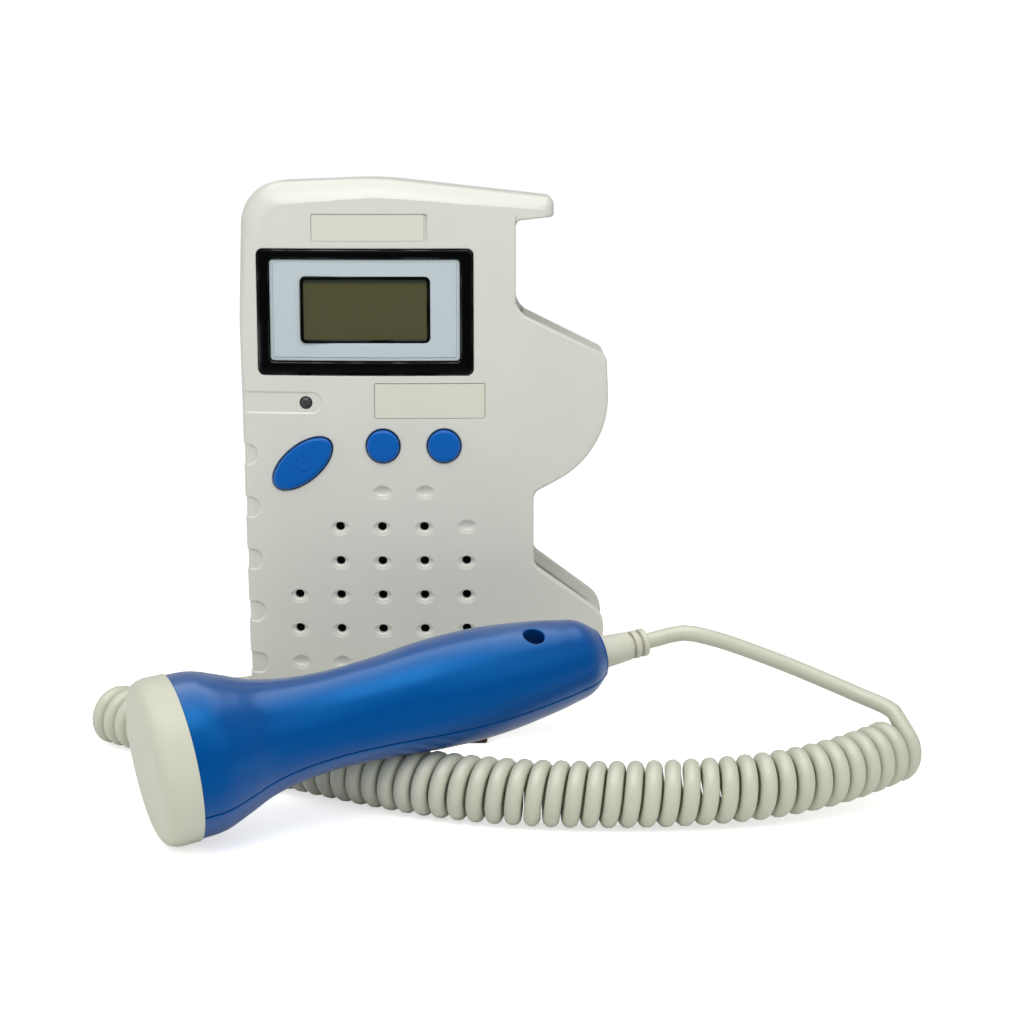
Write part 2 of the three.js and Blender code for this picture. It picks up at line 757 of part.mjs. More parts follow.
function buildRearShell() {
  const seam = seamDepth + restGap / 2;
  const hollow = cavity(-overrun, caseDepth - backWall);
  const channel = dockChannel(-overrun, caseDepth - backLobeWall);
  let shell = cutBy(caseBody(seam, caseDepth + overrun), [hollow, channel]);

  const reach = caseWidth;
  const lipBack = caseDepth - backLobeWall / 2;
  const lipFront = caseDepth - backLobeWall - lobeLip;
  const rimmed = slab(caseOutline, lipFront, lipBack);
  const inner = layeredPrism(caseOutline, [
    { y: lipFront - overrun, inset: lobeLip },
    { y: caseDepth + overrun, inset: lobeLip },
  ]);
  const lobeSide = block(neckX + backWall, reach, lipFront, lipBack, -overrun,
    cornerPlace('dockTop').z);
  const lip = rimmed.subtract(inner).intersect(lobeSide);

  const bay = block(bayLeft - bayWall, bayRight + bayWall, bayFront - bayWall,
    doorInner - restGap, bayBottom - bayWall, bayTop + bayWall);
  const ledge = block(doorLeft - bayWall, doorRight + bayWall, doorInner - restGap - bayWall,
    caseDepth - backWall / 2, doorBottom - bayWall, doorTop + bayWall);
  const bosses = screwPlaces.map((place) => (
    rodY(place.x, place.z, bossRadius, seam, caseDepth - backWall / 2)
  ));
  shell = joined([shell, lip, bay, ledge, ...bosses]);

  const tabSweep = Math.hypot(doorThickness + 2 * tabThickness, tabReach) + doorGap;
  const tabSlots = tabCentres().flatMap((centre) => {
    const [left, right] = [centre - tabWidth / 2 - doorGap, centre + tabWidth / 2 + doorGap];
    return [
      block(left, right, caseDepth - tabSweep, doorInner - tabThickness + doorGap,
        doorBottom - tabReach - doorGap, bayBottom + restGap),
      block(left, right, doorInner - 2 * tabThickness, caseDepth, doorBottom - doorGap / 2,
        bayBottom + restGap),
    ];
  });
  const latchSlot = block(bayOffset - latchWidth / 2 - doorGap, bayOffset + latchWidth / 2 + doorGap,
    doorInner - latchThickness - 2 * restGap - doorGap, caseDepth,
    bayTop - restGap, doorTop + doorGap / 2);
  const wells = screwPlaces.map((place) => (
    rodY(place.x, place.z, screwHeadRadius + restGap, caseDepth - screwSeat, caseDepth + overrun)
  ));
  const cutters = [
    block(bayLeft, bayRight, bayFront, caseDepth + overrun, bayBottom, bayTop),
    block(doorLeft - doorGap, doorRight + doorGap, doorInner - restGap, caseDepth + overrun,
      doorBottom - doorGap, doorTop + doorGap),
    ...tabSlots,
    latchSlot,
    ...wells,
    ...screwPlaces.map((place) => (
      rodY(place.x, place.z, screwShankRadius + restGap, seamDepth, caseDepth, 16)
    )),
    ...footPlaces.slice(2).map(footPocket),
    cordHole(),
  ];
  return cutBy(shell, cutters);
}

function buildScrew(place) {
  const seat = caseDepth - screwSeat + restGap;
  const screw = turnedY(place.x, place.z, [
    [0, seamDepth - screwReach],
    [screwShankRadius, seamDepth - screwReach + screwShankRadius],
    [screwShankRadius, seat],
    [screwHeadRadius, seat],
    [screwHeadRadius, seat + screwHeadDepth * filletShare],
    [screwHeadRadius * filletShare, seat + screwHeadDepth],
    [0, seat + screwHeadDepth],
  ], 16);
  const slotFront = seat + screwHeadDepth - screwSlotDepth;
  const [length, width] = [screwHeadRadius * 0.6, screwSlotWidth / 2];
  return cutBy(screw, [
    block(place.x - length, place.x + length, slotFront, slotFront + overrun, place.z - width, place.z + width),
    block(place.x - width, place.x + width, slotFront, slotFront + overrun, place.z - length, place.z + length),
  ]);
}

function buildFoot(place) {
  const geometry = new THREE.BoxGeometry(footWidth, footLength, footStand + footSink - restGap);
  geometry.translate(place.left + footWidth / 2, place.front + footLength / 2,
    (footStand + footSink - restGap) / 2);
  return solidOf(geometry);
}

function tabCentres() {
  return [bayOffset - tabSpacing / 2, bayOffset + tabSpacing / 2];
}

function buildBatteryDoor() {
  const panel = block(doorLeft, doorRight, doorInner, caseDepth, doorBottom, doorTop);
  const tabs = tabCentres().flatMap((centre) => [
    block(centre - tabWidth / 2, centre + tabWidth / 2, doorInner - 2 * tabThickness,
      doorInner - tabThickness, doorBottom - tabReach, doorBottom + tabReach),
    block(centre - tabWidth / 2, centre + tabWidth / 2, doorInner - 2 * tabThickness,
      doorInner + tabThickness / 2, doorBottom + restGap, doorBottom + tabReach),
  ]);
  const latch = block(bayOffset - latchWidth / 2, bayOffset + latchWidth / 2,
    doorInner - restGap - latchThickness, doorInner + latchThickness / 2,
    doorTop - 2 * latchThickness, doorTop - restGap);
  const panelHeight = gripRidgeCount * gripRidgePitch + gripPanelMargin;
  const panelTop = doorTop - gripRidgePitch;
  const gripPanel = block(bayOffset - gripRidgeWidth / 2 - gripPanelMargin,
    bayOffset + gripRidgeWidth / 2 + gripPanelMargin, caseDepth - gripRidgeRise, caseDepth + overrun,
    panelTop - panelHeight, panelTop);
  const ridges = Array.from({ length: gripRidgeCount }, (_, index) => {
    const z = panelTop - gripPanelMargin / 2 - (index + 0.5) * gripRidgePitch;
    return block(bayOffset - gripRidgeWidth / 2, bayOffset + gripRidgeWidth / 2,
      doorInner + restGap, caseDepth, z - gripRidgeHeight / 2, z + gripRidgeHeight / 2);
  });
  return joined([panel.subtract(gripPanel), ...tabs, latch, ...ridges]);
}

function buildCase() {
  addPiece(model, 'front_shell', buildFrontShell(), white);
  addPiece(model, 'rear_shell', buildRearShell(), white);
  screwPlaces.forEach((place, index) => {
    addPiece(model, `case_screw_${index + 1}`, buildScrew(place), 0x9a9a98, 0.35, 0.9);
  });
  footPlaces.forEach((place, index) => {
    addPiece(model, `foot_${index + 1}`, buildFoot(place), 0x3a2a20, 0.8);
  });
  addPiece(model, 'battery_door', buildBatteryDoor(), white);
}

// Display, plates and lamp

function buildDisplay() {
  const outer = rectangle(displayX, displayZ, displayWidth, displayHeight, displayCorner);
  const opening = rectangle(displayX, displayZ, displayWidth - 2 * displayRimWidth,
    displayHeight - 2 * displayRimWidth, displayCorner / 2);
  const maskGap = 2 * (displayRimWidth + restGap);
  const mask = rectangle(displayX, displayZ, displayWidth - maskGap, displayHeight - maskGap, displayCorner / 2);
  const lcd = rectangle(displayX, lcdZ, lcdWidth, lcdHeight, displayCorner / 4);
  const lcdHole = rectangle(displayX, lcdZ, lcdWidth + 2 * restGap, lcdHeight + 2 * restGap, displayCorner / 4);
  const viewed = rectangle(displayX, lcdZ, lcdWidth - 2 * lcdBorder, lcdHeight - 2 * lcdBorder,
    displayCorner / 4);
  const through = slab(opening, -overrun, caseDepth);
  const rim = facePlate(outer, -displayRimRise, displayThickness).subtract(through);
  const maskPlate = facePlate(mask, maskSink, displayThickness).subtract(slab(lcdHole, -overrun, caseDepth));
  const holderFront = faceDepth(displayX) + maskSink;
  const glassFront = holderFront + restGap;
  const pocket = layeredPrism(viewed, [
    { y: -overrun, inset: 0 },
    { y: glassFront + lcdThickness, inset: 0 },
  ]);
  const holder = slab(lcd, holderFront, boardFront - restGap).subtract(pocket);
  const glass = rectangle(displayX, lcdZ, lcdWidth - 2 * lcdBorder - 2 * restGap,
    lcdHeight - 2 * lcdBorder - 2 * restGap, displayCorner / 4);
  addPiece(model, 'display_rim', rim, 0x0a0c10, 0.12);
  addPiece(model, 'display_mask', maskPlate, 0xbcc8d4, 0.2);
  addPiece(model, 'display_holder', holder, 0x15161a, 0.5);
  addPiece(model, 'lcd_glass', slab(glass, glassFront, glassFront + lcdThickness - restGap), 0x4e4c32, 0.15);
}

function buildPlatesAndLamp() {
  const title = rectangle(displayX, titleZ, titleWidth, titleHeight, plateCorner / 2);
  const brand = rectangle(brandX, brandZ, brandWidth, brandHeight, plateCorner / 2);
  addPiece(model, 'title_plate', facePlate(title, 0, plateThickness), 0xd9dac4, 0.45);
  addPiece(model, 'blank_plate', facePlate(brand, 0, plateThickness), 0xd9dac4, 0.45);
  const lampFront = faceDepth(lampX) - lampRise + lampPanelSink;
  addPiece(model, 'power_lamp', turnedY(lampX, lampZ, [
    [0, lampFront],
    [lampRadius / 2, lampFront + lampRise / 4],
    [lampRadius * filletShare, lampFront + lampRise * 0.6],
    [lampRadius, lampFront + lampRise + faceWall / 2],
    [lampRadius, boardFront - restGap],
    [0, boardFront - restGap],
  ], 16), 0x4a4d50, 0.2);
}

// Buttons, switches and the board that carries them

function buildRoundButton(x) {
  const front = faceDepth(x) - buttonRise;
  const wallBack = faceDepth(Math.abs(x) + buttonRadius + flangeWidth) + faceWall;
  const flange = wallBack + restGap;
  return turnedY(x, buttonZ, [
    [0, front],
    [buttonRadius * 0.6, front + buttonDome * 0.4],
    [buttonRadius - buttonDome, front + buttonDome],
    [buttonRadius, front + 2 * buttonDome],
    [buttonRadius, flange],
    [buttonRadius + flangeWidth, flange],
    [buttonRadius + flangeWidth, flange + flangeThickness],
    [stemRadius, flange + flangeThickness],
    [stemRadius, stemEnd],
    [0, stemEnd],
  ], 20);
}

function buildPowerButton() {
  const front = faceDepth(powerX) - buttonRise;
  const wallBack = faceDepth(Math.abs(powerX) + powerHalfLength) + faceWall;
  const flange = wallBack + restGap;
  const cap = layeredPrism(ellipse(powerX, powerZ, powerHalfLength, powerHalfWidth, powerTilt), [
    { y: front, inset: 3 * buttonDome },
    { y: front + buttonDome, inset: buttonDome },
    { y: front + 2 * buttonDome, inset: 0 },
    { y: flange + flangeThickness, inset: 0 },
  ]);
  const rim = slab(
    ellipse(powerX, powerZ, powerHalfLength + flangeWidth, powerHalfWidth + flangeWidth, powerTilt),
    flange,
    flange + flangeThickness,
  );
  return joined([cap, rim, rodY(powerX, powerZ, stemRadius, flange, stemEnd, 16)]);
}

function buildSwitch(x, z) {
  const half = switchSize / 2;
  const body = block(x - half, x + half, switchFront, switchBack, z - half, z + half);
  return body.add(rodY(x, z, switchNubRadius, switchFront - switchNubHeight, switchFront + restGap, 16));
}

function buildControls() {
  for (const button of roundButtons) {
    addPiece(model, `${button.name}_button`, buildRoundButton(button.x), blue, 0.35);
    addPiece(model, `${button.name}_switch`, buildSwitch(button.x, buttonZ), 0x2c2d30, 0.5);
  }
  addPiece(model, 'power_button', buildPowerButton(), blue, 0.35);
  addPiece(model, 'power_switch', buildSwitch(powerX, powerZ), 0x2c2d30, 0.5);
  const notches = screwPlaces.map((place) => (
    rodY(place.x, place.z, bossRadius + restGap, boardFront - overrun, boardBack + overrun, 16)
  ));
  const board = block(boardLeft, boardRight, boardFront, boardBack, boardBottom, boardTop);
  addPiece(model, 'main_board', cutBy(board, notches), 0x1d6b3c, 0.5);
}

// Speaker

function buildSpeaker() {
  const frameFront = speakerFront + clothThickness + restGap;
  const rimBack = frameFront + speakerRimDepth;
  const coneBack = frameFront + speakerConeDepth;
  const rimInner = speakerRadius - speakerRimWidth;
  const magnetFront = coneBack + speakerSheet + restGap;
  const cloth = rodY(grilleX, speakerZ, speakerRadius - clothInset, speakerFront,
    speakerFront + clothThickness);
  const frame = turnedY(grilleX, speakerZ, [
    [rimInner, frameFront],
    [speakerRadius, frameFront],
    [speakerRadius, rimBack],
    [speakerMagnetRadius, coneBack + speakerSheet],
    [0, coneBack + speakerSheet],
    [0, coneBack],
    [speakerMagnetRadius - speakerSheet, coneBack],
    [rimInner, rimBack],
    [rimInner, frameFront],
  ], 20);
  const cone = turnedY(grilleX, speakerZ, [
    [0, coneBack - restGap - speakerSheet],
    [speakerMagnetRadius / 2, coneBack - restGap - speakerSheet],
    [rimInner - 2 * restGap, frameFront + restGap],
    [rimInner - 2 * restGap, frameFront + restGap + speakerSheet / 2],
    [speakerMagnetRadius / 2, coneBack - restGap],
    [0, coneBack - restGap],
  ], 20);
  addPiece(model, 'speaker_cloth', cloth, 0x1b1b1d, 0.9);
  addPiece(model, 'speaker_frame', frame, 0x8f9296, 0.4, 0.8);
  addPiece(model, 'speaker_cone', cone, 0x262626, 0.8);
  addPiece(model, 'speaker_magnet', rodY(grilleX, speakerZ, speakerMagnetRadius, magnetFront,
    magnetFront + speakerMagnetDepth), 0x4a4c50, 0.4, 0.8);
}

// Cells

function buildCell(z, side) {
  const half = (cellLength + cellNubLength) / 2;
  const profile = [
    [0, -half],
    [cellRadius, -half],
    [cellRadius, half - cellNubLength],
    [cellNubRadius, half - cellNubLength],
    [cellNubRadius, half],
    [0, half],
  ];
  const placed = profile.map(([radius, along]) => [radius, bayOffset + side * along]);
  return turnedX(cellY, z, placed);
}

// One contact at an end of the bay: a plate with a spring cone for one cell and a pad for the other.
function buildContact(side, springZ, padZ) {
  const wall = bayOffset + side * (bayHalfLength - restGap);
  const inner = wall - side * contactThickness;
  const tip = inner - side * (contactReach - restGap);
  const [left, right] = [Math.min(wall, inner), Math.max(wall, inner)];
  const plate = block(left, right, bayFront + contactInset, doorInner - restGap - contactInset,
    bayBottom + contactInset, bayTop - contactInset);
  const root = inner + (side * contactThickness) / 2;
  const spring = turnedX(cellY, springZ, [
    [0, root], [springTipRadius * 2, root], [springTipRadius, tip], [0, tip],
  ], 16);
  const pad = turnedX(cellY, padZ, [
    [0, root], [springTipRadius, root], [springTipRadius, tip], [0, tip],
  ], 16);
  return joined([plate, spring, pad]);
}

function buildCells() {
  const lowerZ = bayBottom + restGap + cellRadius;
  const upperZ = lowerZ + 2 * cellRadius + restGap;
  addPiece(model, 'lower_cell', buildCell(lowerZ, 1), 0x2f3338, 0.3, 0.5);
  addPiece(model, 'upper_cell', buildCell(upperZ, -1), 0x2f3338, 0.3, 0.5);
  addPiece(model, 'left_contact', buildContact(-1, lowerZ, upperZ), 0xb8bcc0, 0.3, 1);
  addPiece(model, 'right_contact', buildContact(1, upperZ, lowerZ), 0xb8bcc0, 0.3, 1);
}

// A tapered strain relief along +X from where it leaves its housing, with the neck that the wall grips
// and a flange inside.
function buildCordGrip(wall) {
  const ringStart = gripCollarLength + gripBodyLength;
  const profile = [
    [0, -wall - gripNeckLength],
    [gripCollarRadius, -wall - gripNeckLength],
    [gripCollarRadius, -wall - restGap],
    [gripNeckRadius, -wall - restGap],
    [gripNeckRadius, restGap],
    [gripCollarRadius, restGap],
    [gripCollarRadius, gripCollarLength],
    [gripBaseRadius, gripCollarLength],
    [gripTipRadius, ringStart],
  ];
  let along = ringStart;
  for (let ring = 0; ring < 2; ring += 1) {
    profile.push([gripSlotRadius, along]);
    profile.push([gripSlotRadius, along + gripSlotLength]);
    profile.push([gripTipRadius, along + gripSlotLength]);
    profile.push([gripTipRadius, along + gripSlotLength + gripRingLength]);
    along += gripSlotLength + gripRingLength;
  }
  profile.push([0, along]);
  const points = profile.map(([radius, place]) => new THREE.Vector2(radius, place));
  const geometry = new THREE.LatheGeometry(points, gripSides);
  geometry.rotateZ(-Math.PI / 2);
  return geometryOf(solidOf(geometry));
}

const gripLength = gripCollarLength + gripBodyLength + 2 * (gripSlotLength + gripRingLength);

function buildUnitGrip() {
  const wall = cavityLeft - leftX;
  const grip = addPiece(model, 'unit_cord_grip', buildCordGrip(wall), cream, 0.5);
  grip.rotation.z = Math.PI;
  grip.position.set(leftX, seamDepth, unitGripHeight);
  return grip;
}

// Probe, built along +X from the face of its head, with the seam in its own XY plane

const shellStart = capLength + restGap;
const shellLength = probeLength - shellStart;
const handleProfile = handleShares.map(([alongShare, radiusShare]) => (
  [radiusShare * probeHeadRadius, shellStart + alongShare * shellLength]
));

function handleRadius(along) {
  const place = THREE.MathUtils.clamp(along, shellStart, probeLength);
  const next = Math.max(1, handleProfile.findIndex((entry) => entry[1] >= place));
  const [[radiusA, placeA], [radiusB, placeB]] = [handleProfile[next - 1], handleProfile[next]];
  return radiusA + ((radiusB - radiusA) * (place - placeA)) / (placeB - placeA);
}

function handleBody(inset, start, end) {
  const inside = handleProfile.filter(([, place]) => place > start && place < end);
  return turnedX(0, 0, [
    [0, start],
    [handleRadius(start) - inset, start],
    ...inside.map(([radius, place]) => [radius - inset, place]),
    [handleRadius(end) - inset, end],
    [0, end],
  ], probeSides);
}

function buildProbeShells(probe) {
  const outer = handleBody(0, shellStart, probeLength);
  const inner = handleBody(shellWall, shellStart - overrun, probeLength - shellWall);
  const gripHole = turnedX(0, 0, [
    [0, probeLength - shellWall - overrun],
    [gripNeckRadius + restGap, probeLength - shellWall - overrun],
    [gripNeckRadius + restGap, probeLength + overrun],
    [0, probeLength + overrun],
  ], 16);
  const body = cutBy(outer, [inner, gripHole]);
  const screwX = probeScrewShare * probeLength;
  const reach = probeHeadRadius + overrun;
  const upperHalf = block(-overrun, probeLength + overrun, -reach, reach, restGap / 2, reach);
  const lowerHalf = block(-overrun, probeLength + overrun, -reach, reach, -reach, -restGap / 2);
  const post = (bottom, top, radius) => {
    const geometry = new THREE.CylinderGeometry(radius, radius, top - bottom, 20);
    geometry.rotateX(Math.PI / 2);
    geometry.translate(screwX, 0, (top + bottom) / 2);
    return solidOf(geometry);
  };
  const ribs = [probeBoardStartShare, probeBoardEndShare].map((share) => {
    const x = share * probeLength;
    const rib = block(x - shellWall / 2, x + shellWall / 2, -reach, reach, -reach,
      -probeRibHeight - restGap);
    return rib.intersect(handleBody(shellWall / 2, shellStart + shellWall, probeLength - shellWall));
  });
  const insideHandle = handleBody(shellWall / 2, shellStart + shellWall, probeLength - shellWall);
  const upperBoss = post(restGap / 2, probeHeadRadius, probeBossRadius).intersect(insideHandle);
  const lowerBoss = post(-probeHeadRadius, -restGap / 2, probeBossRadius).intersect(insideHandle);
  const upper = cutBy(body.intersect(upperHalf).add(upperBoss), [
    post(probeScrewSeat, reach, probeScrewWell),
    post(-overrun, reach, screwShankRadius + restGap),
  ]);
  const lower = cutBy(joined([body.intersect(lowerHalf), lowerBoss, ...ribs]), [
    post(-screwReach - 2 * restGap, overrun, screwShankRadius + restGap),
  ]);
  addPiece(probe, 'probe_upper_shell', upper, blue, 0.35);
  addPiece(probe, 'probe_lower_shell', lower, blue, 0.35);

  const headTop = probeScrewSeat + restGap + screwHeadDepth;
  const screw = joined([
    post(probeScrewSeat + restGap, headTop, probeScrewRadius),
    post(-screwReach, probeScrewSeat + 2 * restGap, screwShankRadius),
  ]);
  const [length, width] = [probeScrewRadius * 0.6, screwSlotWidth / 2];
  addPiece(probe, 'probe_screw', cutBy(screw, [
    block(screwX - length, screwX + length, -width, width, headTop - screwSlotDepth, headTop + overrun),
    block(screwX - width, screwX + width, -length, length, headTop - screwSlotDepth, headTop + overrun),
  ]), 0x9a9a98, 0.35, 0.9);
}

function buildProbeHead(probe) {
  const outside = capEdgeShares.map(([alongShare, radiusShare]) => (
    [radiusShare * probeHeadRadius, alongShare * capLength]
  ));
  const innerRadius = probeHeadRadius * capEdgeShares[0][1] - capWall;
  addPiece(probe, 'probe_cap', turnedX(0, 0, [
    [0, 0],
    ...outside,
    [innerRadius, capLength],
    [innerRadius, capFaceWall],
    [0, capFaceWall],
  ], probeSides), cream, 0.4);
  const discFront = capFaceWall + restGap;
  const disc = turnedX(0, 0, [
    [0, discFront],
    [transducerRadius, discFront],
    [transducerRadius, discFront + transducerThickness],
    [0, discFront + transducerThickness],
  ], 20);
  addPiece(probe, 'transducer_disc', disc, 0xb9a27a, 0.3, 0.7);
  const backingFront = discFront + transducerThickness + restGap;
  const backing = turnedX(0, 0, [
    [0, backingFront],
    [backingRadius, backingFront],
    [backingRadius, backingFront + backingLength],
    [0, backingFront + backingLength],
  ], 20);
  addPiece(probe, 'acoustic_backing', backing, 0x2b2b2e, 0.8);
}

function buildProbeBoard(probe) {
  const thickness = boardThickness / 2;
  const ribTop = -probeRibHeight;
  addPiece(probe, 'probe_board', block(
    probeBoardStartShare * probeLength - shellWall,
    probeBoardEndShare * probeLength + shellWall,
    -probeBoardHalfWidth,
    probeBoardHalfWidth,
    ribTop,
    ribTop + 2 * thickness,
  ), 0x1d6b3c, 0.5);
}

function buildProbe() {
  const probe = new THREE.Group();
  buildProbeShells(probe);
  buildProbeHead(probe);
  buildProbeBoard(probe);
  const grip = addPiece(probe, 'probe_cord_grip', buildCordGrip(shellWall), cream, 0.5);
  grip.position.set(probeLength, 0, 0);
  probe.rotation.order = 'ZYX';
  probe.rotation.set(
    THREE.MathUtils.degToRad(probeRoll),
    -THREE.MathUtils.degToRad(probeRise),
    THREE.MathUtils.degToRad(probeYaw),
  );
  probe.position.set(...probeFacePlace, 0);
  model.add(probe);
  probe.updateMatrixWorld(true);
  probe.position.z = -new THREE.Box3().setFromObject(probe, true).min.z;
  probe.updateMatrixWorld(true);
  return probe;
}

// Cord

const coilTurns = coilCurls + coilEndTurn - coilStartTurn;

// A point on the coil's wire, the turns counted from the front of its first curl.
function coilPoint(axis, turn) {
  const share = Math.min(1, (turn - coilStartTurn) / coilTurns);
  const centre = axis.getPointAt(share);
  const along = axis.getTangentAt(share);
  const front = new THREE.Vector3(0, 0, 1).cross(along).normalize();
  const up = along.clone().cross(front);
  const angle = 2 * Math.PI * turn;
  const outward = front.multiplyScalar(Math.cos(angle)).addScaledVector(up, -Math.sin(angle));
  return { centre, outward, place: centre.clone().addScaledVector(outward, coilRadius) };
}

function coilWire() {
  const stretches = coilRoute.length - coilSmoothness;
  const knots = [
    ...Array(coilSmoothness).fill(0),
    ...Array.from({ length: stretches + 1 }, (_, index) => index / stretches),
    ...Array(coilSmoothness).fill(1),
  ];
  const controls = coilRoute.map((place) => new THREE.Vector4(...place, 1));
  const axis = new NURBSCurve(coilSmoothness, knots, controls);
  axis.arcLengthDivisions = 20 * coilCurls;
  const steps = Math.round(coilTurns * coilSteps);
  const wire = Array.from({ length: steps + 1 }, (_, step) => (
    coilPoint(axis, coilStartTurn + (coilTurns * step) / steps)
  ));
  const [first, second] = [wire[0].place, wire[1].place];
  const [beforeLast, last] = [wire[steps - 1].place, wire[steps].place];
  const arrive = second.clone().sub(first).normalize();
  const leave = last.clone().sub(beforeLast).setZ(0).normalize();
  const tail = 2 * cordRadius;
  const head = {
    place: first.clone().addScaledVector(arrive, -tail),
    outward: wire[0].outward,
    way: arrive,
  };
  const end = {
    place: last.clone().addScaledVector(leave, tail),
    outward: wire[steps].outward,
    way: leave,
  };
  wire.forEach((point, index) => {
    const before = index > 0 ? wire[index - 1].place : head.place;
    const after = index < steps ? wire[index + 1].place : end.place;
    point.way = after.clone().sub(before).normalize();
  });
  return { axis, wire: [head, ...wire, end] };
}

function buildCoil(wire) {
  const positions = [];
  const indices = [];
  for (const point of wire) {
    const across = point.way.clone().cross(point.outward).normalize();
    const outward = across.clone().cross(point.way).normalize();
    for (let side = 0; side < coilSides; side += 1) {
      const angle = (2 * Math.PI * side) / coilSides;
      const corner = point.place.clone()
        .addScaledVector(outward, cordRadius * Math.cos(angle))
        .addScaledVector(across, cordRadius * Math.sin(angle));
      positions.push(corner.x, corner.y, corner.z);
    }
  }
  const last = (wire.length - 1) * coilSides;
  for (let ring = 0; ring < wire.length - 1; ring += 1) {
    for (let side = 0; side < coilSides; side += 1) {
      const a = ring * coilSides + side;
      const b = ring * coilSides + ((side + 1) % coilSides);
      indices.push(a, b, a + coilSides, b, b + coilSides, a + coilSides);
    }
  }
  for (let side = 1; side < coilSides - 1; side += 1) {
    indices.push(0, side + 1, side);
    indices.push(last, last + side, last + side + 1);
  }
  const geometry = new THREE.BufferGeometry();
  geometry.setAttribute('position', new THREE.Float32BufferAttribute(positions, 3));
  geometry.setIndex(indices);
  return geometryOf(solidOf(geometry));
}

// The least gap between one stretch of the wire and the next, measured on points along it.
function leastCoilGap(axis) {
  const fine = coilSteps * coilMeasureSteps;
  const count = Math.floor(coilTurns * fine);
  const places = Array.from({ length: count + 1 }, (_, step) => (
    coilPoint(axis, coilStartTurn + step / fine).place
  ));
  let least = Infinity;
  places.forEach((place, index) => {
    for (let other = index + fine / 2; other < places.length; other += 1) {
      least = Math.min(least, place.distanceTo(places[other]));
    }
  });
  return least - 2 * cordRadius;
}

function cordTube(points) {
  const path = new THREE.CatmullRomCurve3(points);
  const section = new THREE.Shape();
  section.absarc(0, 0, cordRadius, 0, 2 * Math.PI);
  return new THREE.ExtrudeGeometry(section, {
    steps: Math.ceil(path.getLength() / cordStep),
    extrudePath: path,
    curveSegments: cordSides,
  });
}

function straightEnd(from, way) {
  return [0, 1, 2].map((step) => from.clone().addScaledVector(way, restGap + step * cordRadius));
}

function buildCords(probe, unitGrip) {
  const { axis, wire } = coilWire();
  const leastGap = leastCoilGap(axis);
  console.log(`least gap of the curly cord to itself: ${leastGap.toFixed(2)} mm`);

  const tipOf = (grip) => grip.localToWorld(new THREE.Vector3(gripLength, 0, 0));
  const wayOut = (grip) => new THREE.Vector3(1, 0, 0).transformDirection(grip.matrixWorld);
  const probeGrip = probe.getObjectByName('probe_cord_grip');
  const [head, end] = [wire[0], wire[wire.length - 1]];
  const probeEnd = straightEnd(tipOf(probeGrip), wayOut(probeGrip));
  const coilStart = straightEnd(head.place, head.way.clone().negate()).reverse();
  const probeRoute = probeLeadRoute.map((place) => new THREE.Vector3(...place));
  const probeLead = cordTube([...probeEnd, ...probeRoute, ...coilStart]);

  const coilExit = straightEnd(end.place, end.way);
  const unitEnd = straightEnd(tipOf(unitGrip), wayOut(unitGrip)).reverse();
  const unitRoute = unitLeadRoute.map((place) => new THREE.Vector3(...place));
  const unitLead = cordTube([...coilExit, ...unitRoute, ...unitEnd]);

  addPiece(cords, 'probe_lead', solidOf(probeLead), cordColour, 0.5);
  addPiece(cords, 'curly_cord', buildCoil(wire), cordColour, 0.5);
  addPiece(cords, 'unit_lead', solidOf(unitLead), cordColour, 0.5);
}

buildCase();
buildDisplay();
buildPlatesAndLamp();
buildControls();
buildSpeaker();
buildCells();
const unitGrip = buildUnitGrip();
const probe = buildProbe();
model.updateMatrixWorld(true);
buildCords(probe, unitGrip);

// The origin is the middle of the base of the hand unit and probe together.
const reach = new THREE.Box3().setFromObject(model, true);
const middle = reach.getCenter(new THREE.Vector3());
doppler.position.set(-middle.x, -middle.y, -reach.min.z);
doppler.updateMatrixWorld(true);
console.log(`moved by ${[-middle.x, -middle.y, -reach.min.z].map((v) => v.toFixed(3)).join(', ')} mm`);

export default doppler;
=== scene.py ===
"""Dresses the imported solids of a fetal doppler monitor: hand unit, probe and curly cord.

Lengths are in millimetres in the hand unit's own frame (X from the middle of the front panel, Y from the
crest of the front face, Z from the floor) until place() turns them into metres in the model's frame.
"""

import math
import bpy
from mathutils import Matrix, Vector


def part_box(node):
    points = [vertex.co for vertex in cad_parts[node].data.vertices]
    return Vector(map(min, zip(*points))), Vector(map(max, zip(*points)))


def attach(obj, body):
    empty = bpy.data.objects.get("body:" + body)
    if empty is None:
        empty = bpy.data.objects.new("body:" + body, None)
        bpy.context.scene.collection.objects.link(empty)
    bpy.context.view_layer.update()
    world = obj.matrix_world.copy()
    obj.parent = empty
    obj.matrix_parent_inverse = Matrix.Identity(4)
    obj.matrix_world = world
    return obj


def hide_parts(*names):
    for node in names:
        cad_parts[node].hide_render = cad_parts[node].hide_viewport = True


bl_info = {
    "name": "Fetal Doppler Monitor",
    "version": (1, 0, 0),
    "blender": (4, 5, 0),
    "location": "View3D > Sidebar > Doppler",
    "description": "Builds a hand-held fetal doppler monitor with its probe and curly cord",
    "category": "Object",
}

import bpy
import numpy as np
from mathutils import Matrix, Vector
from mathutils.geometry import delaunay_2d_cdt

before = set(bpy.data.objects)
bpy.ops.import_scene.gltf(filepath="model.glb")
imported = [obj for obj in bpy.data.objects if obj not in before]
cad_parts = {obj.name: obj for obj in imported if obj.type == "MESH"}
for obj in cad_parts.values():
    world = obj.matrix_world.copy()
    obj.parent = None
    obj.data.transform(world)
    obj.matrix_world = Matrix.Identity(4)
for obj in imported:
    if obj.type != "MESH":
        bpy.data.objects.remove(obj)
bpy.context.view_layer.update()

MM = 0.001
UNIT = "unit"

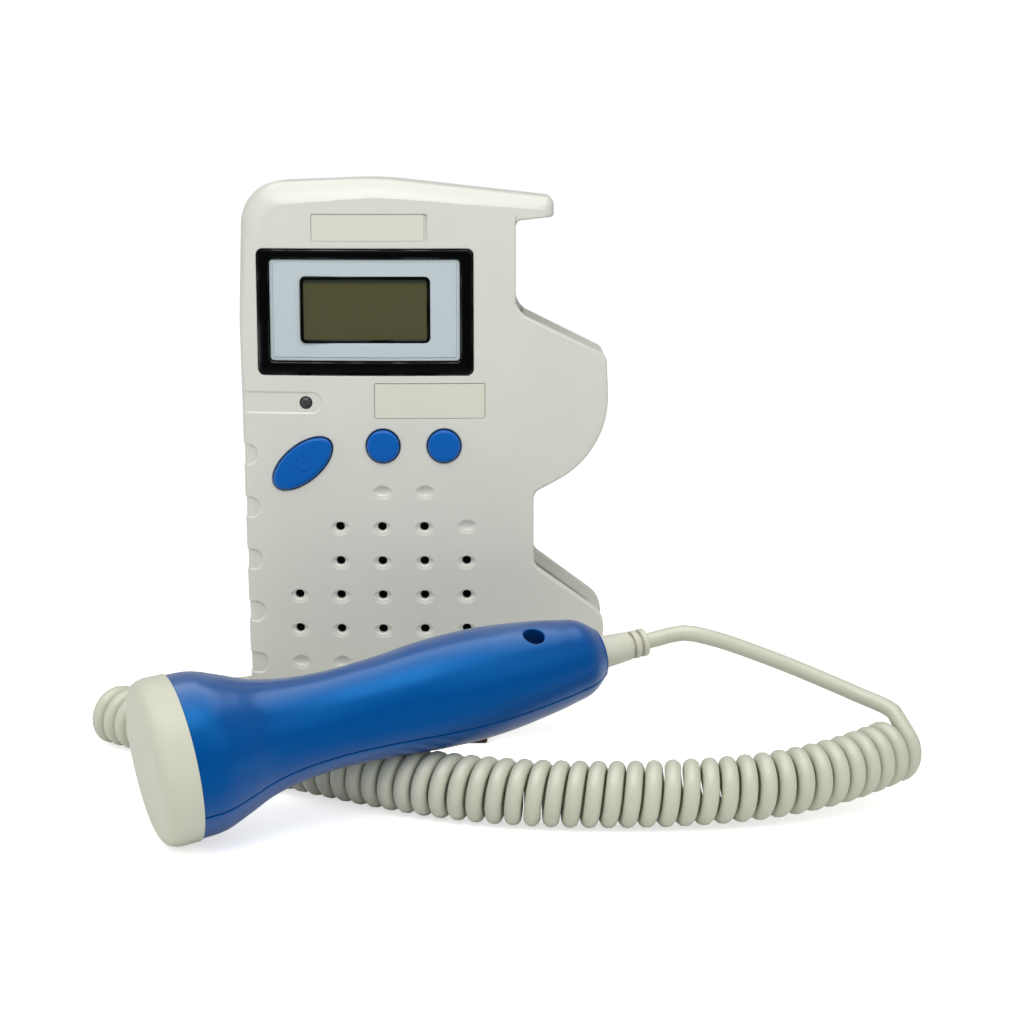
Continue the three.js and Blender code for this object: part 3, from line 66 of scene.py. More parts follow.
# Case
CASE_WIDTH = 107.5
CASE_HEIGHT = 165.6
CASE_DEPTH = 37.0
FOOT_STAND = 1.6
FACE_RADIUS = 260.0
FACE_WALL = 2.2
BACK_WALL = 2.2
SIDE_WALL = 3.2
TOP_WALL = 6.3
BASE_WALL = 2.6
SEAM_DEPTH = 18.5
REST_GAP = 0.3
FRONT_LOBE_WALL = 3.0
BACK_LOBE_WALL = 3.5
LOBE_LIP = 3.0
BACK_EDGE = (2.4, 3.0, 90.0)
PANEL_LEFT = 0.411  # how much of the width lies left of the front panel's middle
CREASE_DEPTH = 0.01  # where the rounded edge is deeper than this, its slope counts
NECK_LIP = 2.2
LIP_CLEARANCE = 4.0  # the lip's inner line ends this far below the dock's top
# Corners of the outline: shares of the width and height, radius as a share of the width, and the
# rounded edge of the front there: its width, its depth and the angle at which it meets the face.
CORNERS = {
    "base_left": (0.013, 0.0, 0.084, 2.6, 2.8, 90.0),
    "base_right": (0.675, 0.0, 0.023, 1.2, 1.2, 90.0),
    "base_rise": (0.7, 0.028, 0.028, 1.0, 1.0, 90.0),
    "lower_lobe_tip": (0.979, 0.1, 0.03, 0.9, 0.9, 90.0),
    "lower_lobe_top": (0.992, 0.223, 0.074, 0.9, 0.9, 90.0),
    "lower_neck": (0.795, 0.318, 0.037, 0.9, 0.9, 90.0),
    "upper_neck": (0.795, 0.448, 0.028, 0.9, 0.9, 90.0),
    "upper_lobe_tip": (1.005, 0.517, 0.25, 1.1, 1.1, 90.0),
    "upper_lobe_top": (0.993, 0.69, 0.037, 1.0, 1.0, 90.0),
    "dock_top": (0.746, 0.769, 0.056, 0.9, 0.9, 90.0),
    "visor_root": (0.746, 0.925, 0.016, 0.8, 0.8, 90.0),
    "visor_tip": (0.847, 0.932, 0.011, 0.7, 0.7, 90.0),
    "visor_top": (0.847, 0.966, 0.022, 4.0, 5.2, 62.0),
    "crest": (0.374, 1.0, 0.93, 5.7, 6.8, 58.0),
    "top_left": (0.0075, 0.991, 0.116, 7.2, 7.4, 60.0),
    "left_side": (0.0, 0.755, 1.4, 2.6, 3.0, 90.0),
}


def corner_place(name):
    across, up, rounding = CORNERS[name][:3]
    return (across - PANEL_LEFT) * CASE_WIDTH, FOOT_STAND + up * CASE_HEIGHT, rounding * CASE_WIDTH


NECK_X = corner_place("dock_top")[0]
LEFT_X = corner_place("left_side")[0]
DOCK_TOP_Z = corner_place("visor_root")[1]
CORNER_LIP_TOP = corner_place("dock_top")[1]
CAVITY_LEFT = corner_place("base_left")[0] + SIDE_WALL
CAVITY_RIGHT = NECK_X - BACK_WALL
CAVITY_TOP = FOOT_STAND + CASE_HEIGHT - TOP_WALL
CAVITY_BOTTOM = FOOT_STAND + BASE_WALL
VISOR_PATCH = (np.arange(37, 46.5, 0.8), np.arange(156, 163, 0.8))  # more points where the visor bends

# Display
DISPLAY_X = -0.069 * CASE_WIDTH
DISPLAY_Z = FOOT_STAND + 0.77 * CASE_HEIGHT
DISPLAY_SIZE = (62.0, 36.5)
DISPLAY_CORNER = 1.6
DISPLAY_BACK = 2.0
DISPLAY_HOLE = (0.25, 0.35)  # room round the rim, and the rounding of the case there
RIM_RISE = 0.5
RIM_TOP_CUT = 0.6
RIM_EDGE = (1.5, 0.6, 62)
WINDOW_SIDES = (3.2, 3.35, 3.7, 3.15)  # width of the rim at the left, right, bottom and top
WINDOW_CORNER = 1.3
WINDOW_ROUNDING = 0.6
MASK_GAP = 0.3
MASK_SINK = 0.5
MASK_EDGE = (0.3, 0.2, 60)
MASK_STEP = (1.0, 0.25)  # how far in from its edge the mask steps forward, and how far forward
MASK_STEP_EDGE = 0.18
LCD_SIZE = (37.3, 18.9)
LCD_BORDER = 0.75
LCD_SHIFT = 0.1
LCD_Z = DISPLAY_Z + 0.4
HOLDER_GAP = 0.1
HOLDER_FRONT = 0.606
HOLDER_CORNERS = (1.6, 1.5, 1.1)  # of the mask's opening, of the holder and of the glass
HOLDER_EDGE = (0.3, 0.25, 90)
GLASS_GAP = 0.03
GLASS_DEPTH = (0.3, 1.6)  # front and back of the glass behind the holder's front
BOARD_FRONT = 12.0

# Plates and lamp
TITLE_SIZE = (33.0, 8.0)
TITLE_Z = DISPLAY_Z + DISPLAY_SIZE[1] / 2 + 1.6 + TITLE_SIZE[1] / 2
TITLE_FACE = (32.2, 7.6)
TITLE_SHIFT = 1.0
TITLE_GROOVE = 0.9  # open part of the title's recess at its right end
BLANK_SIZE = (33.4, 10.4)
BLANK_X = DISPLAY_X + 18.5
BLANK_Z = DISPLAY_Z - DISPLAY_SIZE[1] / 2 - 2.6 - BLANK_SIZE[1] / 2
BLANK_FACE = (31.8, 10.0)
BLANK_LIFT = 0.2
PLATE_SINK = 0.3
PLATE_GAP = 0.12
PLATE_BACK = 0.72
PLATE_EDGE = (0.15, 0.12, 90)
PLATE_CORNER = 0.4
PLATE_RECESS = (0.75, 0.09)  # depth and soft edge
LAMP_X = DISPLAY_X - 17.4
LAMP_Z = DISPLAY_Z - DISPLAY_SIZE[1] / 2 - 8.2
LAMP_RADIUS = 1.75
LAMP_GAP = 0.12
LAMP_RISE = 0.2
LAMP_DOME = 1.3
LAMP_PANEL = (22.5, 6.0)
LAMP_PANEL_REACH = 4.6
LAMP_PANEL_CORNER = 2.9
LAMP_PANEL_RECESS = (0.35, 0.4)
PAST_EDGE = 4.0  # how far a recess that is open at the side runs past the case

# Buttons
BUTTON_Z = BLANK_Z - BLANK_SIZE[1] / 2 - 7.7
BUTTON_RADIUS = 4.7
BUTTON_RISE = 1.3
LEFT_BUTTON_X = DISPLAY_X + 4.9
RIGHT_BUTTON_X = LEFT_BUTTON_X + 17.7
POWER_X = DISPLAY_X - 18.7
POWER_Z = BUTTON_Z - 5.3
POWER_HALF = (10.4, 5.1)
POWER_TILT = math.radians(39.5)
SLIDE_GAP = 0.35
BUTTON_HOLE_ROUNDING = 0.45
ROUND_KEY_EDGE = (1.2, 1.0, 90)
POWER_KEY_EDGE = (1.3, 1.0, 90)
FLANGE = 1.2  # width and thickness of a button's flange behind the wall
STEM_RADIUS = 2.0
STEM_END = 5.9
# Marks in the buttons: width and depth of their lines
POWER_MARK = (0.42, 0.16)
LEFT_MARK = (0.4, 0.1)
RIGHT_MARK = (0.4, 0.05)
POWER_MARK_SHIFT = 0.35
POWER_MARK_RADIUS = 2.15

# Speaker grille
GRILLE_X = DISPLAY_X + 4.4
GRILLE_Z = BUTTON_Z - 23.75
GRILLE_PITCH = (12.3, 10.2)
# Rows from the top: o is a dimple with a hole, d a bare dimple
GRILLE_ROWS = [(-1, "..dd."), (0, ".oood"), (1, ".oooo"), (2, "ooooo"), (3, "ooooo"), (4, "dd...")]
GRILLE_HOLE = 1.3
GRILLE_HOLE_ROUNDING = 0.12
DIMPLE_HALF = (2.95, 2.1)
DIMPLE_DEPTH = 0.5
DIMPLE_POWER = 0.95
DIMPLE_DROP = 0.65  # a hole sits this far above the middle of its dimple
DIMPLE_SHIFT = 0.2
BOWL_HALF = (2.4, 1.6)
BOWL_DEPTH = 0.5
BOWL_POWER = 0.6
# The grille cloth is the speaker's black cloth, stretched to lie behind every grille hole: partly the real
# cloth, partly a sheet of painted shade that keeps the holes past the speaker black.
CLOTH_HALF = 28.2
CLOTH_SPAN = (33.2, 3.4)  # below and above the middle hole of the first row
CLOTH_DEPTH = (0.03, 0.2)  # front and back of the cloth behind the wall

# Grip notches down the left edge
NOTCH_TOP_Z = FOOT_STAND + 0.517 * CASE_HEIGHT
NOTCH_PITCH = 15.6
NOTCH_COUNT = 5
NOTCH_HEIGHT = 6.0
NOTCH_REACH = 4.7
NOTCH_GROWTH = 0.5
NOTCH_CORNER = 2.6
NOTCH_SINK = 0.6
NOTCH_EDGE = 0.25
NOTCH_STEP = 0.45  # how far the outline steps in beside a notch
NOTCH_SLANT = 0.15
NOTCH_BAND = 3.0  # the outline's left side is within this of its edge

# Cells, door, screws and feet
CELL_RADIUS = 7.25
CELL_LENGTH = 49.2
CELL_NUB = (2.7, 1.3)
BAY_X = -3.0
BAY_HALF = (CELL_LENGTH + CELL_NUB[1]) / 2 + 3 + 0.5 + 0.6
BAY_BOTTOM = 9.0
BAY_TOP = BAY_BOTTOM + 4 * CELL_RADIUS + 0.9
BAY_WALL = 1.3
DOOR_THICKNESS = 1.8
DOOR_INNER = CASE_DEPTH - DOOR_THICKNESS
CELL_Y = DOOR_INNER - REST_GAP - CELL_RADIUS
BAY_FRONT = CELL_Y - CELL_RADIUS - REST_GAP
DOOR_LAP = 2.2
DOOR_GAP = 0.35
DOOR_LOW = (BAY_X - BAY_HALF - DOOR_LAP, BAY_BOTTOM - DOOR_LAP)
DOOR_HIGH = (BAY_X + BAY_HALF + DOOR_LAP, BAY_TOP + DOOR_LAP)
DOOR_EDGE = (0.5, 0.5, 90)
DOOR_GRIP = (8.0, 12.0, 2.2)  # half width, and its lower and upper edge below the door's top
GRIP_POCKET = (0.6, 0.12)
RIDGE_HALF = (7.0, 0.5)
RIDGE_RISE = (-0.5, 0.15)
RIDGE_COUNT, RIDGE_PITCH, RIDGE_DROP = 4, 2.2, 10.4
LEDGE_MARGIN = 1.7
LEDGE_FRONT = 33.6
TAB_SPACING = 34.0
TAB_WIDTH = 6.0
TAB_SLOT = (4.45, 34.35)  # lower end and depth of the hollow behind a tab
TAB_HOLE_DROP = 0.18
TAB_STEP = 32.0
LATCH_WIDTH = 9.0
LATCH_DIP = 0.3  # how far the latch's seat reaches into the bay
LATCH_SHORT = 0.17  # how far it stays short of the recess's edge
LATCH_SEAT = 2.15
LATCH_PAD = (1.5, 31.7)  # reach above the door, and depth
# Profiles of the door's tabs and latch, in depth and height
PRONG_ROOT = DOOR_INNER - 0.02
TAB_PROFILE = [
    (PRONG_ROOT, 7.1), (34, 7.1), (34, 4.95), (33.85, 4.8), (32.95, 4.8), (32.8, 4.95), (32.8, 8.65),
    (32.95, 8.8), (PRONG_ROOT, 8.8),
]
LATCH_PROFILE = [
    (PRONG_ROOT, 39.1), (34.1, 39.1), (33.75, 39.5), (33.75, 40.5), (34, 40.78), (PRONG_ROOT, 40.78),
]
SCREWS = [(side * CASE_WIDTH, FOOT_STAND + up * CASE_HEIGHT)
          for side, up in ((-0.32, 0.905), (0.256, 0.905), (-0.32, 0.285), (0.262, 0.285))]
SCREW_WELL = 2.9
SCREW_SEAT = 9.5
SCREW_HEAD = (2.6, 1.9)
SCREW_EDGE = (0.9, 0.7, 90)
SCREW_BORE = 1.5
SCREW_SHANK = 1.2
SCREW_TIP = 11.5
SLOT = (0.4, 0.6, 0.8)  # half width, reach as a share of the head's radius, and depth
BOSS_RADIUS = 4.2
PILOT_BOSS_RADIUS = 3.2
PILOT_RADIUS = 1.3
PILOT_END = 11.2
FOOT_GAP = 0.02
FOOT_ROUNDING = 0.7
LOBE_END = 64.0  # just past the dock's corner

# Cord: the route that the solids have
COIL_ROUTE = [
    (139.6, -50.6, 14.2), (129, -59, 12.5), (113, -68.4, 10.8), (92, -73.3, 9.5), (66, -75, 8.8),
    (38, -73.6, 8.75), (14, -66, 8.75), (-10, -52, 8.75), (-34, -35, 8.75), (-60, -15, 8.75),
    (-76, -2, 8.75), (-84, 4.5, 8.75),
]
COIL_RADIUS = 6.58
COIL_START, COIL_CURLS, COIL_END = -0.15, 51, 0.25
COIL_STEPS = 24
PROBE_LEAD_ROUTE = [
    (82.2, -36.5, 43.3), (92.2, -36.4, 41.2), (101.6, -36.8, 38), (111.2, -37.8, 34.5),
    (120.4, -39.8, 31), (129.5, -43, 27.6),
]
UNIT_LEAD_ROUTE = [(-74.4, 12.6, 2.4), (-69.5, 16.2, 5.4)]
SPLINE_SAMPLES = 1200
AXIS_STEPS = 4000
AXIS_REACH = 12  # steps each way over which the axis's direction is taken
LEAD_SPACING = 3.0
CORD_LIFT = 0.18
GRIP_LENGTH = 14.4
GRIP_HEIGHT = 12.0
GRIP_BORE = 3.1
GRIP_FLANGE = (3.4, 4.6)  # thickness and radius behind the wall
GRIP_NECK = 2.8
# The grip outside the wall: place, radius and rounding
GRIP_PROFILE = [
    (0.3, GRIP_NECK, 0.05), (0.3, 4.7, 0.3), (1.6, 4.7, 0.35), (1.7, 4.5, 0.05), (9.6, 3.9, 0.3),
    (9.6, 2.6, 0.1), (10.4, 2.6, 0.1), (10.4, 3.9, 0.3), (12.0, 3.9, 0.3), (12.0, 2.6, 0.1),
    (12.8, 2.6, 0.1), (12.8, 3.9, 0.3), (GRIP_LENGTH, 3.9, 0.35), (GRIP_LENGTH, 0, 0),
]

# Probe, along its own length from the face of its head
PROBE_LENGTH = 127.0
CAP_LENGTH = 9.3
SHELL_START = CAP_LENGTH + REST_GAP
SHELL_WALL = 2.0
HEAD_RADIUS = 22.0
PROBE_TURN = (math.radians(31), -math.radians(8), math.radians(22))
PROBE_FACE = (-58.3, -89.0)
CAP_EDGE = [(0.0, 0.886), (0.16, 0.955), (0.43, 0.995), (1.0, 0.991)]
HANDLE = [
    (0, 0.974), (0.056, 0.952), (0.116, 0.838), (0.174, 0.712), (0.24, 0.632), (0.326, 0.588),
    (0.45, 0.606), (0.6, 0.672), (0.728, 0.668), (0.83, 0.607), (0.91, 0.536), (0.968, 0.45),
    (1, 0.32),
]
CAP_WALL = 1.8
CAP_THICKNESS = 1.4
SEAM_ROUNDING = 0.35
RIM_ROUNDING = 0.15
WELL_ROUNDING = 0.3
PROBE_SCREW_X = 0.84 * PROBE_LENGTH
PROBE_SCREW_SEAT = 4.0
PROBE_SCREW = (-8.0, 2.4, 1.0)  # tip, and the radius of its head and shank
PROBE_BOSS_RADIUS = 4.2
PROBE_BORE_RADIUS = 1.35
PROBE_PILOT = (1.1, 8.6)  # radius and depth
FLAT_TURN = 14.0  # radius at which the handle's skin is rolled out flat

# Camera and lights
CAMERA_PLACE = (34.884, -591.0, 175.0)
CAMERA_PITCH = 80.0
# Place, what it shines at, diameter in metres and share of the key light's power
LIGHTS = {
    "Overhead": ((-40, -320, 570), (0, -20, 80), 0.45, 1.0),
    "Right": ((420, -420, 430), (20, -20, 80), 0.45, 0.4),
    "Left": ((-520, -120, 120), (-90, -60, 30), 0.4, 0.22),
    "Panel": ((-60, -60, 700), (-20, -60, 30), 1.1, 4.5),
}
FLOOR_HALF = 6.0
FLOOR_GLOW = 0.6

# The hand unit's frame is found from two nodes whose place in it is known.
panel_shift = (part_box("title_plate")[0].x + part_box("title_plate")[1].x) / 2 / MM - DISPLAY_X
depth_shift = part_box("rear_shell")[1].y / MM - CASE_DEPTH


def place(point):
    """A point of the hand unit's frame, in metres in the model's frame."""
    return Vector(((point[0] + panel_shift) * MM, (point[1] + depth_shift) * MM, point[2] * MM))


def face_depth(x):
    return FACE_RADIUS - np.sqrt(FACE_RADIUS ** 2 - np.square(x))


# Materials


def linear(red, green, blue):
    """A colour from 0 to 255 as it looks, as the linear values that the shaders take."""
    values = [value / 255 for value in (red, green, blue)]
    return tuple(v / 12.92 if v <= 0.04045 else ((v + 0.055) / 1.055) ** 2.4 for v in values)


def put(node, **values):
    """Sets inputs of a node. An underscore stands for a blank in an input's name."""
    for name, value in values.items():
        node.inputs[name.replace("_", " ")].default_value = value


def plain_material(name, colour, roughness, metallic=0.0, coat=0.0, specular=0.5):
    material = bpy.data.materials.new(name)
    material.use_nodes = True
    shader = material.node_tree.nodes["Principled BSDF"]
    put(shader, Base_Color=(*colour, 1), Roughness=roughness, Metallic=metallic, Coat_Weight=coat,
        Coat_Roughness=0.08, Specular_IOR_Level=specular)
    return material, material.node_tree, shader


def mottled(name, colour, roughness, mottle=0.015, grain=0.05, grain_scale=1500.0, **finish):
    """A moulded material: slight changes of colour and a fine grain."""
    material, tree, shader = plain_material(name, colour, roughness, **finish)
    coordinates = tree.nodes.new("ShaderNodeTexCoord")
    noise = tree.nodes.new("ShaderNodeTexNoise")
    put(noise, Scale=40, Detail=3)
    ramp = tree.nodes.new("ShaderNodeValToRGB")
    ramp.color_ramp.elements[0].position = 0.35
    ramp.color_ramp.elements[1].position = 0.65
    ramp.color_ramp.elements[0].color = (*[c * (1 - mottle) for c in colour], 1)
    ramp.color_ramp.elements[1].color = (*[min(1, c * (1 + mottle)) for c in colour], 1)
    tree.links.new(coordinates.outputs["Object"], noise.inputs["Vector"])
    tree.links.new(noise.outputs["Fac"], ramp.inputs["Fac"])
    tree.links.new(ramp.outputs["Color"], shader.inputs["Base Color"])
    grit = tree.nodes.new("ShaderNodeTexNoise")
    put(grit, Scale=grain_scale, Detail=2)
    bump = tree.nodes.new("ShaderNodeBump")
    put(bump, Strength=grain, Distance=0.0001)
    tree.links.new(coordinates.outputs["Object"], grit.inputs["Vector"])
    tree.links.new(grit.outputs["Fac"], bump.inputs["Height"])
    tree.links.new(bump.outputs["Normal"], shader.inputs["Normal"])
    return material


def glossy(name, colour, roughness, specular, turn, shine, broken=0.0, tint=(1, 1, 1)):
    """A deep colour where it is seen face on, with a gloss that grows as the surface turns away. A broken
    gloss comes and goes along the piece."""
    material, tree, shader = plain_material(name, colour, roughness, specular=specular)
    put(shader, Coat_Roughness=roughness * 0.7, Specular_Tint=(*tint, 1))
    facing = tree.nodes.new("ShaderNodeLayerWeight")
    put(facing, Blend=0.5)
    gloss = tree.nodes.new("ShaderNodeMapRange")
    put(gloss, From_Min=turn[0], From_Max=turn[1], To_Max=shine)
    coordinates = tree.nodes.new("ShaderNodeTexCoord")
    patches = tree.nodes.new("ShaderNodeTexNoise")
    put(patches, Scale=110)
    spread = tree.nodes.new("ShaderNodeMapRange")
    put(spread, From_Min=0.42, From_Max=0.6, To_Min=1 - broken)
    weight = tree.nodes.new("ShaderNodeMath")
    weight.operation = "MULTIPLY"
    tree.links.new(facing.outputs["Facing"], gloss.inputs["Value"])
    tree.links.new(coordinates.outputs["Object"], patches.inputs["Vector"])
    tree.links.new(patches.outputs["Fac"], spread.inputs["Value"])
    tree.links.new(gloss.outputs["Result"], weight.inputs[0])
    tree.links.new(spread.outputs["Result"], weight.inputs[1])
    tree.links.new(weight.outputs["Value"], shader.inputs["Coat Weight"])
    return material


def glass_material(name, colour, deep, top):
    """A dull display behind its glass, with a painted shadow of the frame along its upper edge."""
    material, tree, shader = plain_material(name, colour, 0.2, specular=0.2)
    coordinates = tree.nodes.new("ShaderNodeTexCoord")
    split = tree.nodes.new("ShaderNodeSeparateXYZ")
    # Painted shadow: the deep colour fills a band just below the top, where the frame's upper border shades
    # the glass.
    shade = tree.nodes.new("ShaderNodeMapRange")
    put(shade, From_Min=top - 1.5 * MM, From_Max=top - 0.7 * MM)
    mix = tree.nodes.new("ShaderNodeMix")
    mix.data_type = "RGBA"
    put(mix, A=(*colour, 1), B=(*deep, 1))
    tree.links.new(coordinates.outputs["Object"], split.inputs["Vector"])
    tree.links.new(split.outputs["Z"], shade.inputs["Value"])
    tree.links.new(shade.outputs["Result"], mix.inputs["Factor"])
    tree.links.new(mix.outputs["Result"], shader.inputs["Base Color"])
    return material


def board_material(name):
    """A green board with fine copper tracks under its lacquer."""
    material, tree, shader = plain_material(name, linear(24, 96, 56), 0.4, coat=0.3)
    coordinates = tree.nodes.new("ShaderNodeTexCoord")
    tracks = tree.nodes.new("ShaderNodeTexBrick")
    put(tracks, Scale=260, Mortar_Size=0.035, Color1=(*linear(24, 96, 56), 1),
        Color2=(*linear(20, 86, 50), 1), Mortar=(*linear(58, 132, 80), 1))
    tree.links.new(coordinates.outputs["Object"], tracks.inputs["Vector"])
    tree.links.new(tracks.outputs["Color"], shader.inputs["Base Color"])
    return material


def woven_material(name, colour):
    material, tree, shader = plain_material(name, colour, 0.95, specular=0.1)
    coordinates = tree.nodes.new("ShaderNodeTexCoord")
    weave = tree.nodes.new("ShaderNodeTexChecker")
    put(weave, Scale=3000)
    bump = tree.nodes.new("ShaderNodeBump")
    put(bump, Strength=0.3, Distance=0.0001)
    tree.links.new(coordinates.outputs["Object"], weave.inputs["Vector"])
    tree.links.new(weave.outputs["Fac"], bump.inputs["Height"])
    tree.links.new(bump.outputs["Normal"], shader.inputs["Normal"])
    return material


def colours():
    return bpy.context.scene.doppler_colours


BLUE_GLOSS = (0.05, 0.45, 1.0)
MATERIALS = {
    "case_white": lambda n: mottled(n, tuple(colours().case), 0.3, specular=0.4),
    "blue_plastic": lambda n: glossy(n, tuple(colours().probe), 0.3, 0.6, (0.15, 0.5), 0.6, tint=BLUE_GLOSS),
    "button_blue": lambda n: glossy(n, tuple(colours().button), 0.28, 0.12, (0.1, 0.6), 0.7),
    "cream_plastic": lambda n: mottled(n, tuple(colours().cap), 0.36, specular=0.15),
    "cream_rubber": lambda n: mottled(n, linear(208, 208, 192), 0.5, specular=0.35),
    "cord": lambda n: mottled(n, tuple(colours().cord), 0.42, mottle=0.03, grain=0.1),
    "rim_black": lambda n: glossy(n, linear(4, 4, 5), 0.1, 0.04, (0.05, 0.3), 1.0, 1.0),
    "mask": lambda n: mottled(n, linear(188, 200, 203), 0.2, mottle=0.01, grain=0.01, specular=0.3),
    "dark_plastic": lambda n: mottled(n, linear(22, 23, 26), 0.4, mottle=0.05),
    # The second colour is a painted shadow along the top of the LCD.
    "lcd": lambda n: glass_material(n, linear(76, 75, 48), linear(46, 49, 40), lcd_top()),
    "plate": lambda n: mottled(n, linear(214, 214, 199), 0.4, grain=0.02),
    "lamp": lambda n: mottled(n, linear(58, 59, 62), 0.12, mottle=0.05, grain=0.0, specular=0.3),
    "board": board_material,
    # Near-black cloth, which also serves as painted shade behind the grille holes.
    "cloth": lambda n: woven_material(n, linear(10, 10, 11)),
    "frame_metal": lambda n: mottled(n, linear(160, 163, 168), 0.35, grain=0.1, metallic=0.9),
    "paper": lambda n: woven_material(n, linear(38, 38, 38)),
    "magnet": lambda n: mottled(n, linear(82, 84, 88), 0.45, grain=0.2, metallic=0.7),
    "cell": lambda n: mottled(n, linear(40, 42, 46), 0.25, grain=0.02, coat=0.4),
    "contact": lambda n: mottled(n, linear(196, 199, 202), 0.28, grain=0.05, metallic=1.0),
    "screw": lambda n: mottled(n, linear(150, 150, 148), 0.35, grain=0.1, metallic=0.9),
    "foot": lambda n: mottled(n, linear(70, 50, 38), 0.75, mottle=0.06, grain=0.25),
    "transducer": lambda n: mottled(n, linear(190, 166, 124), 0.3, grain=0.1, metallic=0.6),
    "backing": lambda n: mottled(n, linear(44, 44, 47), 0.8, mottle=0.08, grain=0.3),
}


def material_of(slot):
    name = f"{slot}_finish"
    return bpy.data.materials.get(name) or MATERIALS[slot](name)


# Shapes in X and Z: how far a point is from the edge, and loops at a distance outside it


def filled(loop, stretch):
    """A closed loop with points added so that no side is longer than a stretch."""
    points = []
    for start, end in zip(loop, np.roll(loop, -1, axis=0)):
        steps = max(1, math.ceil(np.linalg.norm(end - start) / stretch))
        points.extend(start + (end - start) * step / steps for step in range(steps))
    return np.array(points)


class RoundedBox:
    def __init__(self, x, z, width, height, radius):
        self.centre = np.array([x, z])
        self.half = np.array([width, height]) / 2
        self.radius = radius

    def gap(self, points):
        away = np.abs(points - self.centre) - self.half + self.radius
        outside = np.linalg.norm(np.maximum(away, 0), axis=1)
        return outside + np.minimum(away.max(axis=1), 0) - self.radius

    def loop(self, out=0.0, turns=7, stretch=4.0):
        half = self.half + out
        radius = max(self.radius + out, 0.04)
        loop = []
        for side, (sx, sz) in enumerate(((1, 1), (-1, 1), (-1, -1), (1, -1))):
            centre = self.centre + (half - radius) * (sx, sz)
            for turn in np.linspace(0, math.pi / 2, turns):
                angle = side * math.pi / 2 + turn
                loop.append(centre + radius * np.array([math.cos(angle), math.sin(angle)]))
        return filled(np.array(loop), stretch)


class Oval:
    def __init__(self, x, z, half_width, half_height, tilt=0.0):
        self.centre = np.array([x, z])
        self.half = np.array([half_width, half_height])
        self.turn = np.array([[math.cos(tilt), math.sin(tilt)], [-math.sin(tilt), math.cos(tilt)]])

    def share(self, points):
        local = (points - self.centre) @ self.turn.T
        return np.linalg.norm(local / self.half, axis=1)

    def gap(self, points):
        local = (points - self.centre) @ self.turn.T
        share = np.maximum(np.linalg.norm(local / self.half, axis=1), 1e-6)
        slope = np.maximum(np.linalg.norm(local / self.half ** 2, axis=1) / share, 1e-6)
        return (share - 1) / slope

    def loop(self, out=0.0, sides=40):
        angle = np.linspace(0, 2 * math.pi, sides, endpoint=False)
        ring = np.stack([np.cos(angle), np.sin(angle)], axis=1)
        away = ring / self.half
        away /= np.linalg.norm(away, axis=1)[:, None]
        return self.centre + (ring * self.half + away * out) @ self.turn


class Stroke:
    """A line of points with a width and round ends."""

    def __init__(self, points, width):
        self.points = np.array(points, float)
        self.width = width

    def gap(self, points):
        best = np.full(len(points), np.inf)
        for start, end in zip(self.points[:-1], self.points[1:]):
            along = end - start
            share = np.clip((points - start) @ along / (along @ along), 0, 1)
            best = np.minimum(best, np.linalg.norm(points - start - share[:, None] * along, axis=1))
        return best - self.width / 2

    def loop(self, out=0.0):
        reach = max(self.width / 2 + out, 0.02)
        way = np.gradient(self.points, axis=0)
        way /= np.linalg.norm(way, axis=1)[:, None]
        side = np.stack([-way[:, 1], way[:, 0]], axis=1) * reach
        caps = []
        for point, heading, first in ((self.points[-1], way[-1], 90), (self.points[0], way[0], -90)):
            facing = math.degrees(math.atan2(heading[1], heading[0]))
            angles = np.radians(facing + np.linspace(first, first - 180, 9)[1:-1])
            caps.append(point + reach * np.stack([np.cos(angles), np.sin(angles)], axis=1))
        return np.concatenate([self.points + side, caps[0], (self.points - side)[::-1], caps[1]])


def arc(x, z, radius, start, end, steps=14):
    angle = np.radians(np.linspace(start, end, steps))
    return np.stack([x + radius * np.cos(angle), z + radius * np.sin(angle)], axis=1)


def inside(points, loop):
    """Which points lie inside a closed loop."""
    result = np.zeros(len(points), bool)
    for start, end in zip(loop, np.roll(loop, -1, axis=0)):
        if start[1] == end[1]:
            continue
        spans = (start[1] > points[:, 1]) != (end[1] > points[:, 1])
        crossing = start[0] + (points[:, 1] - start[1]) * (end[0] - start[0]) / (end[1] - start[1])
        result ^= spans & (points[:, 0] < crossing)
    return result


# Relief on a moulded wall


class Opening:
    """A hole with a rounded rim."""

    def __init__(self, shape, rounding):
        self.shape, self.rounding = shape, rounding
        self.cutout = shape.loop(0)

    def depth(self, points):
        share = np.clip(self.shape.gap(points) / self.rounding, 0, 1)
        return self.rounding * (1 - np.sqrt(np.maximum(1 - (1 - share) ** 2, 0)))

    def loops(self):
        return [self.shape.loop(self.rounding * share) for share in (0.12, 0.35, 0.65, 1, 1.8)]


class Pocket:
    """A shallow recess with a soft step at its edge."""

    cutout = None

    def __init__(self, shape, sink, edge):
        self.shape, self.sink, self.edge = shape, sink, edge

    def depth(self, points):
        share = np.clip((self.edge - self.shape.gap(points)) / (2 * self.edge), 0, 1)
        return self.sink * (0.5 - 0.5 * np.cos(math.pi * share))

    def loops(self):
        return [self.shape.loop(self.edge * share) for share in (1.5, 1, 0.5, 0, -0.5, -1, -1.5)]


class Dimple:
    """A shallow bowl, whose rim is crisper the lower its power is."""

    cutout = None

    def __init__(self, shape, sink, power):
        self.shape, self.sink, self.power = shape, sink, power

    def depth(self, points):
        share = self.shape.share(points)
        return self.sink * np.maximum(1 - share ** 2, 0) ** self.power

    def loops(self):
        least = self.shape.half.min()
        return [self.shape.loop(least * out, 28) for out in (0.1, 0, -0.04, -0.12, -0.28, -0.55)]


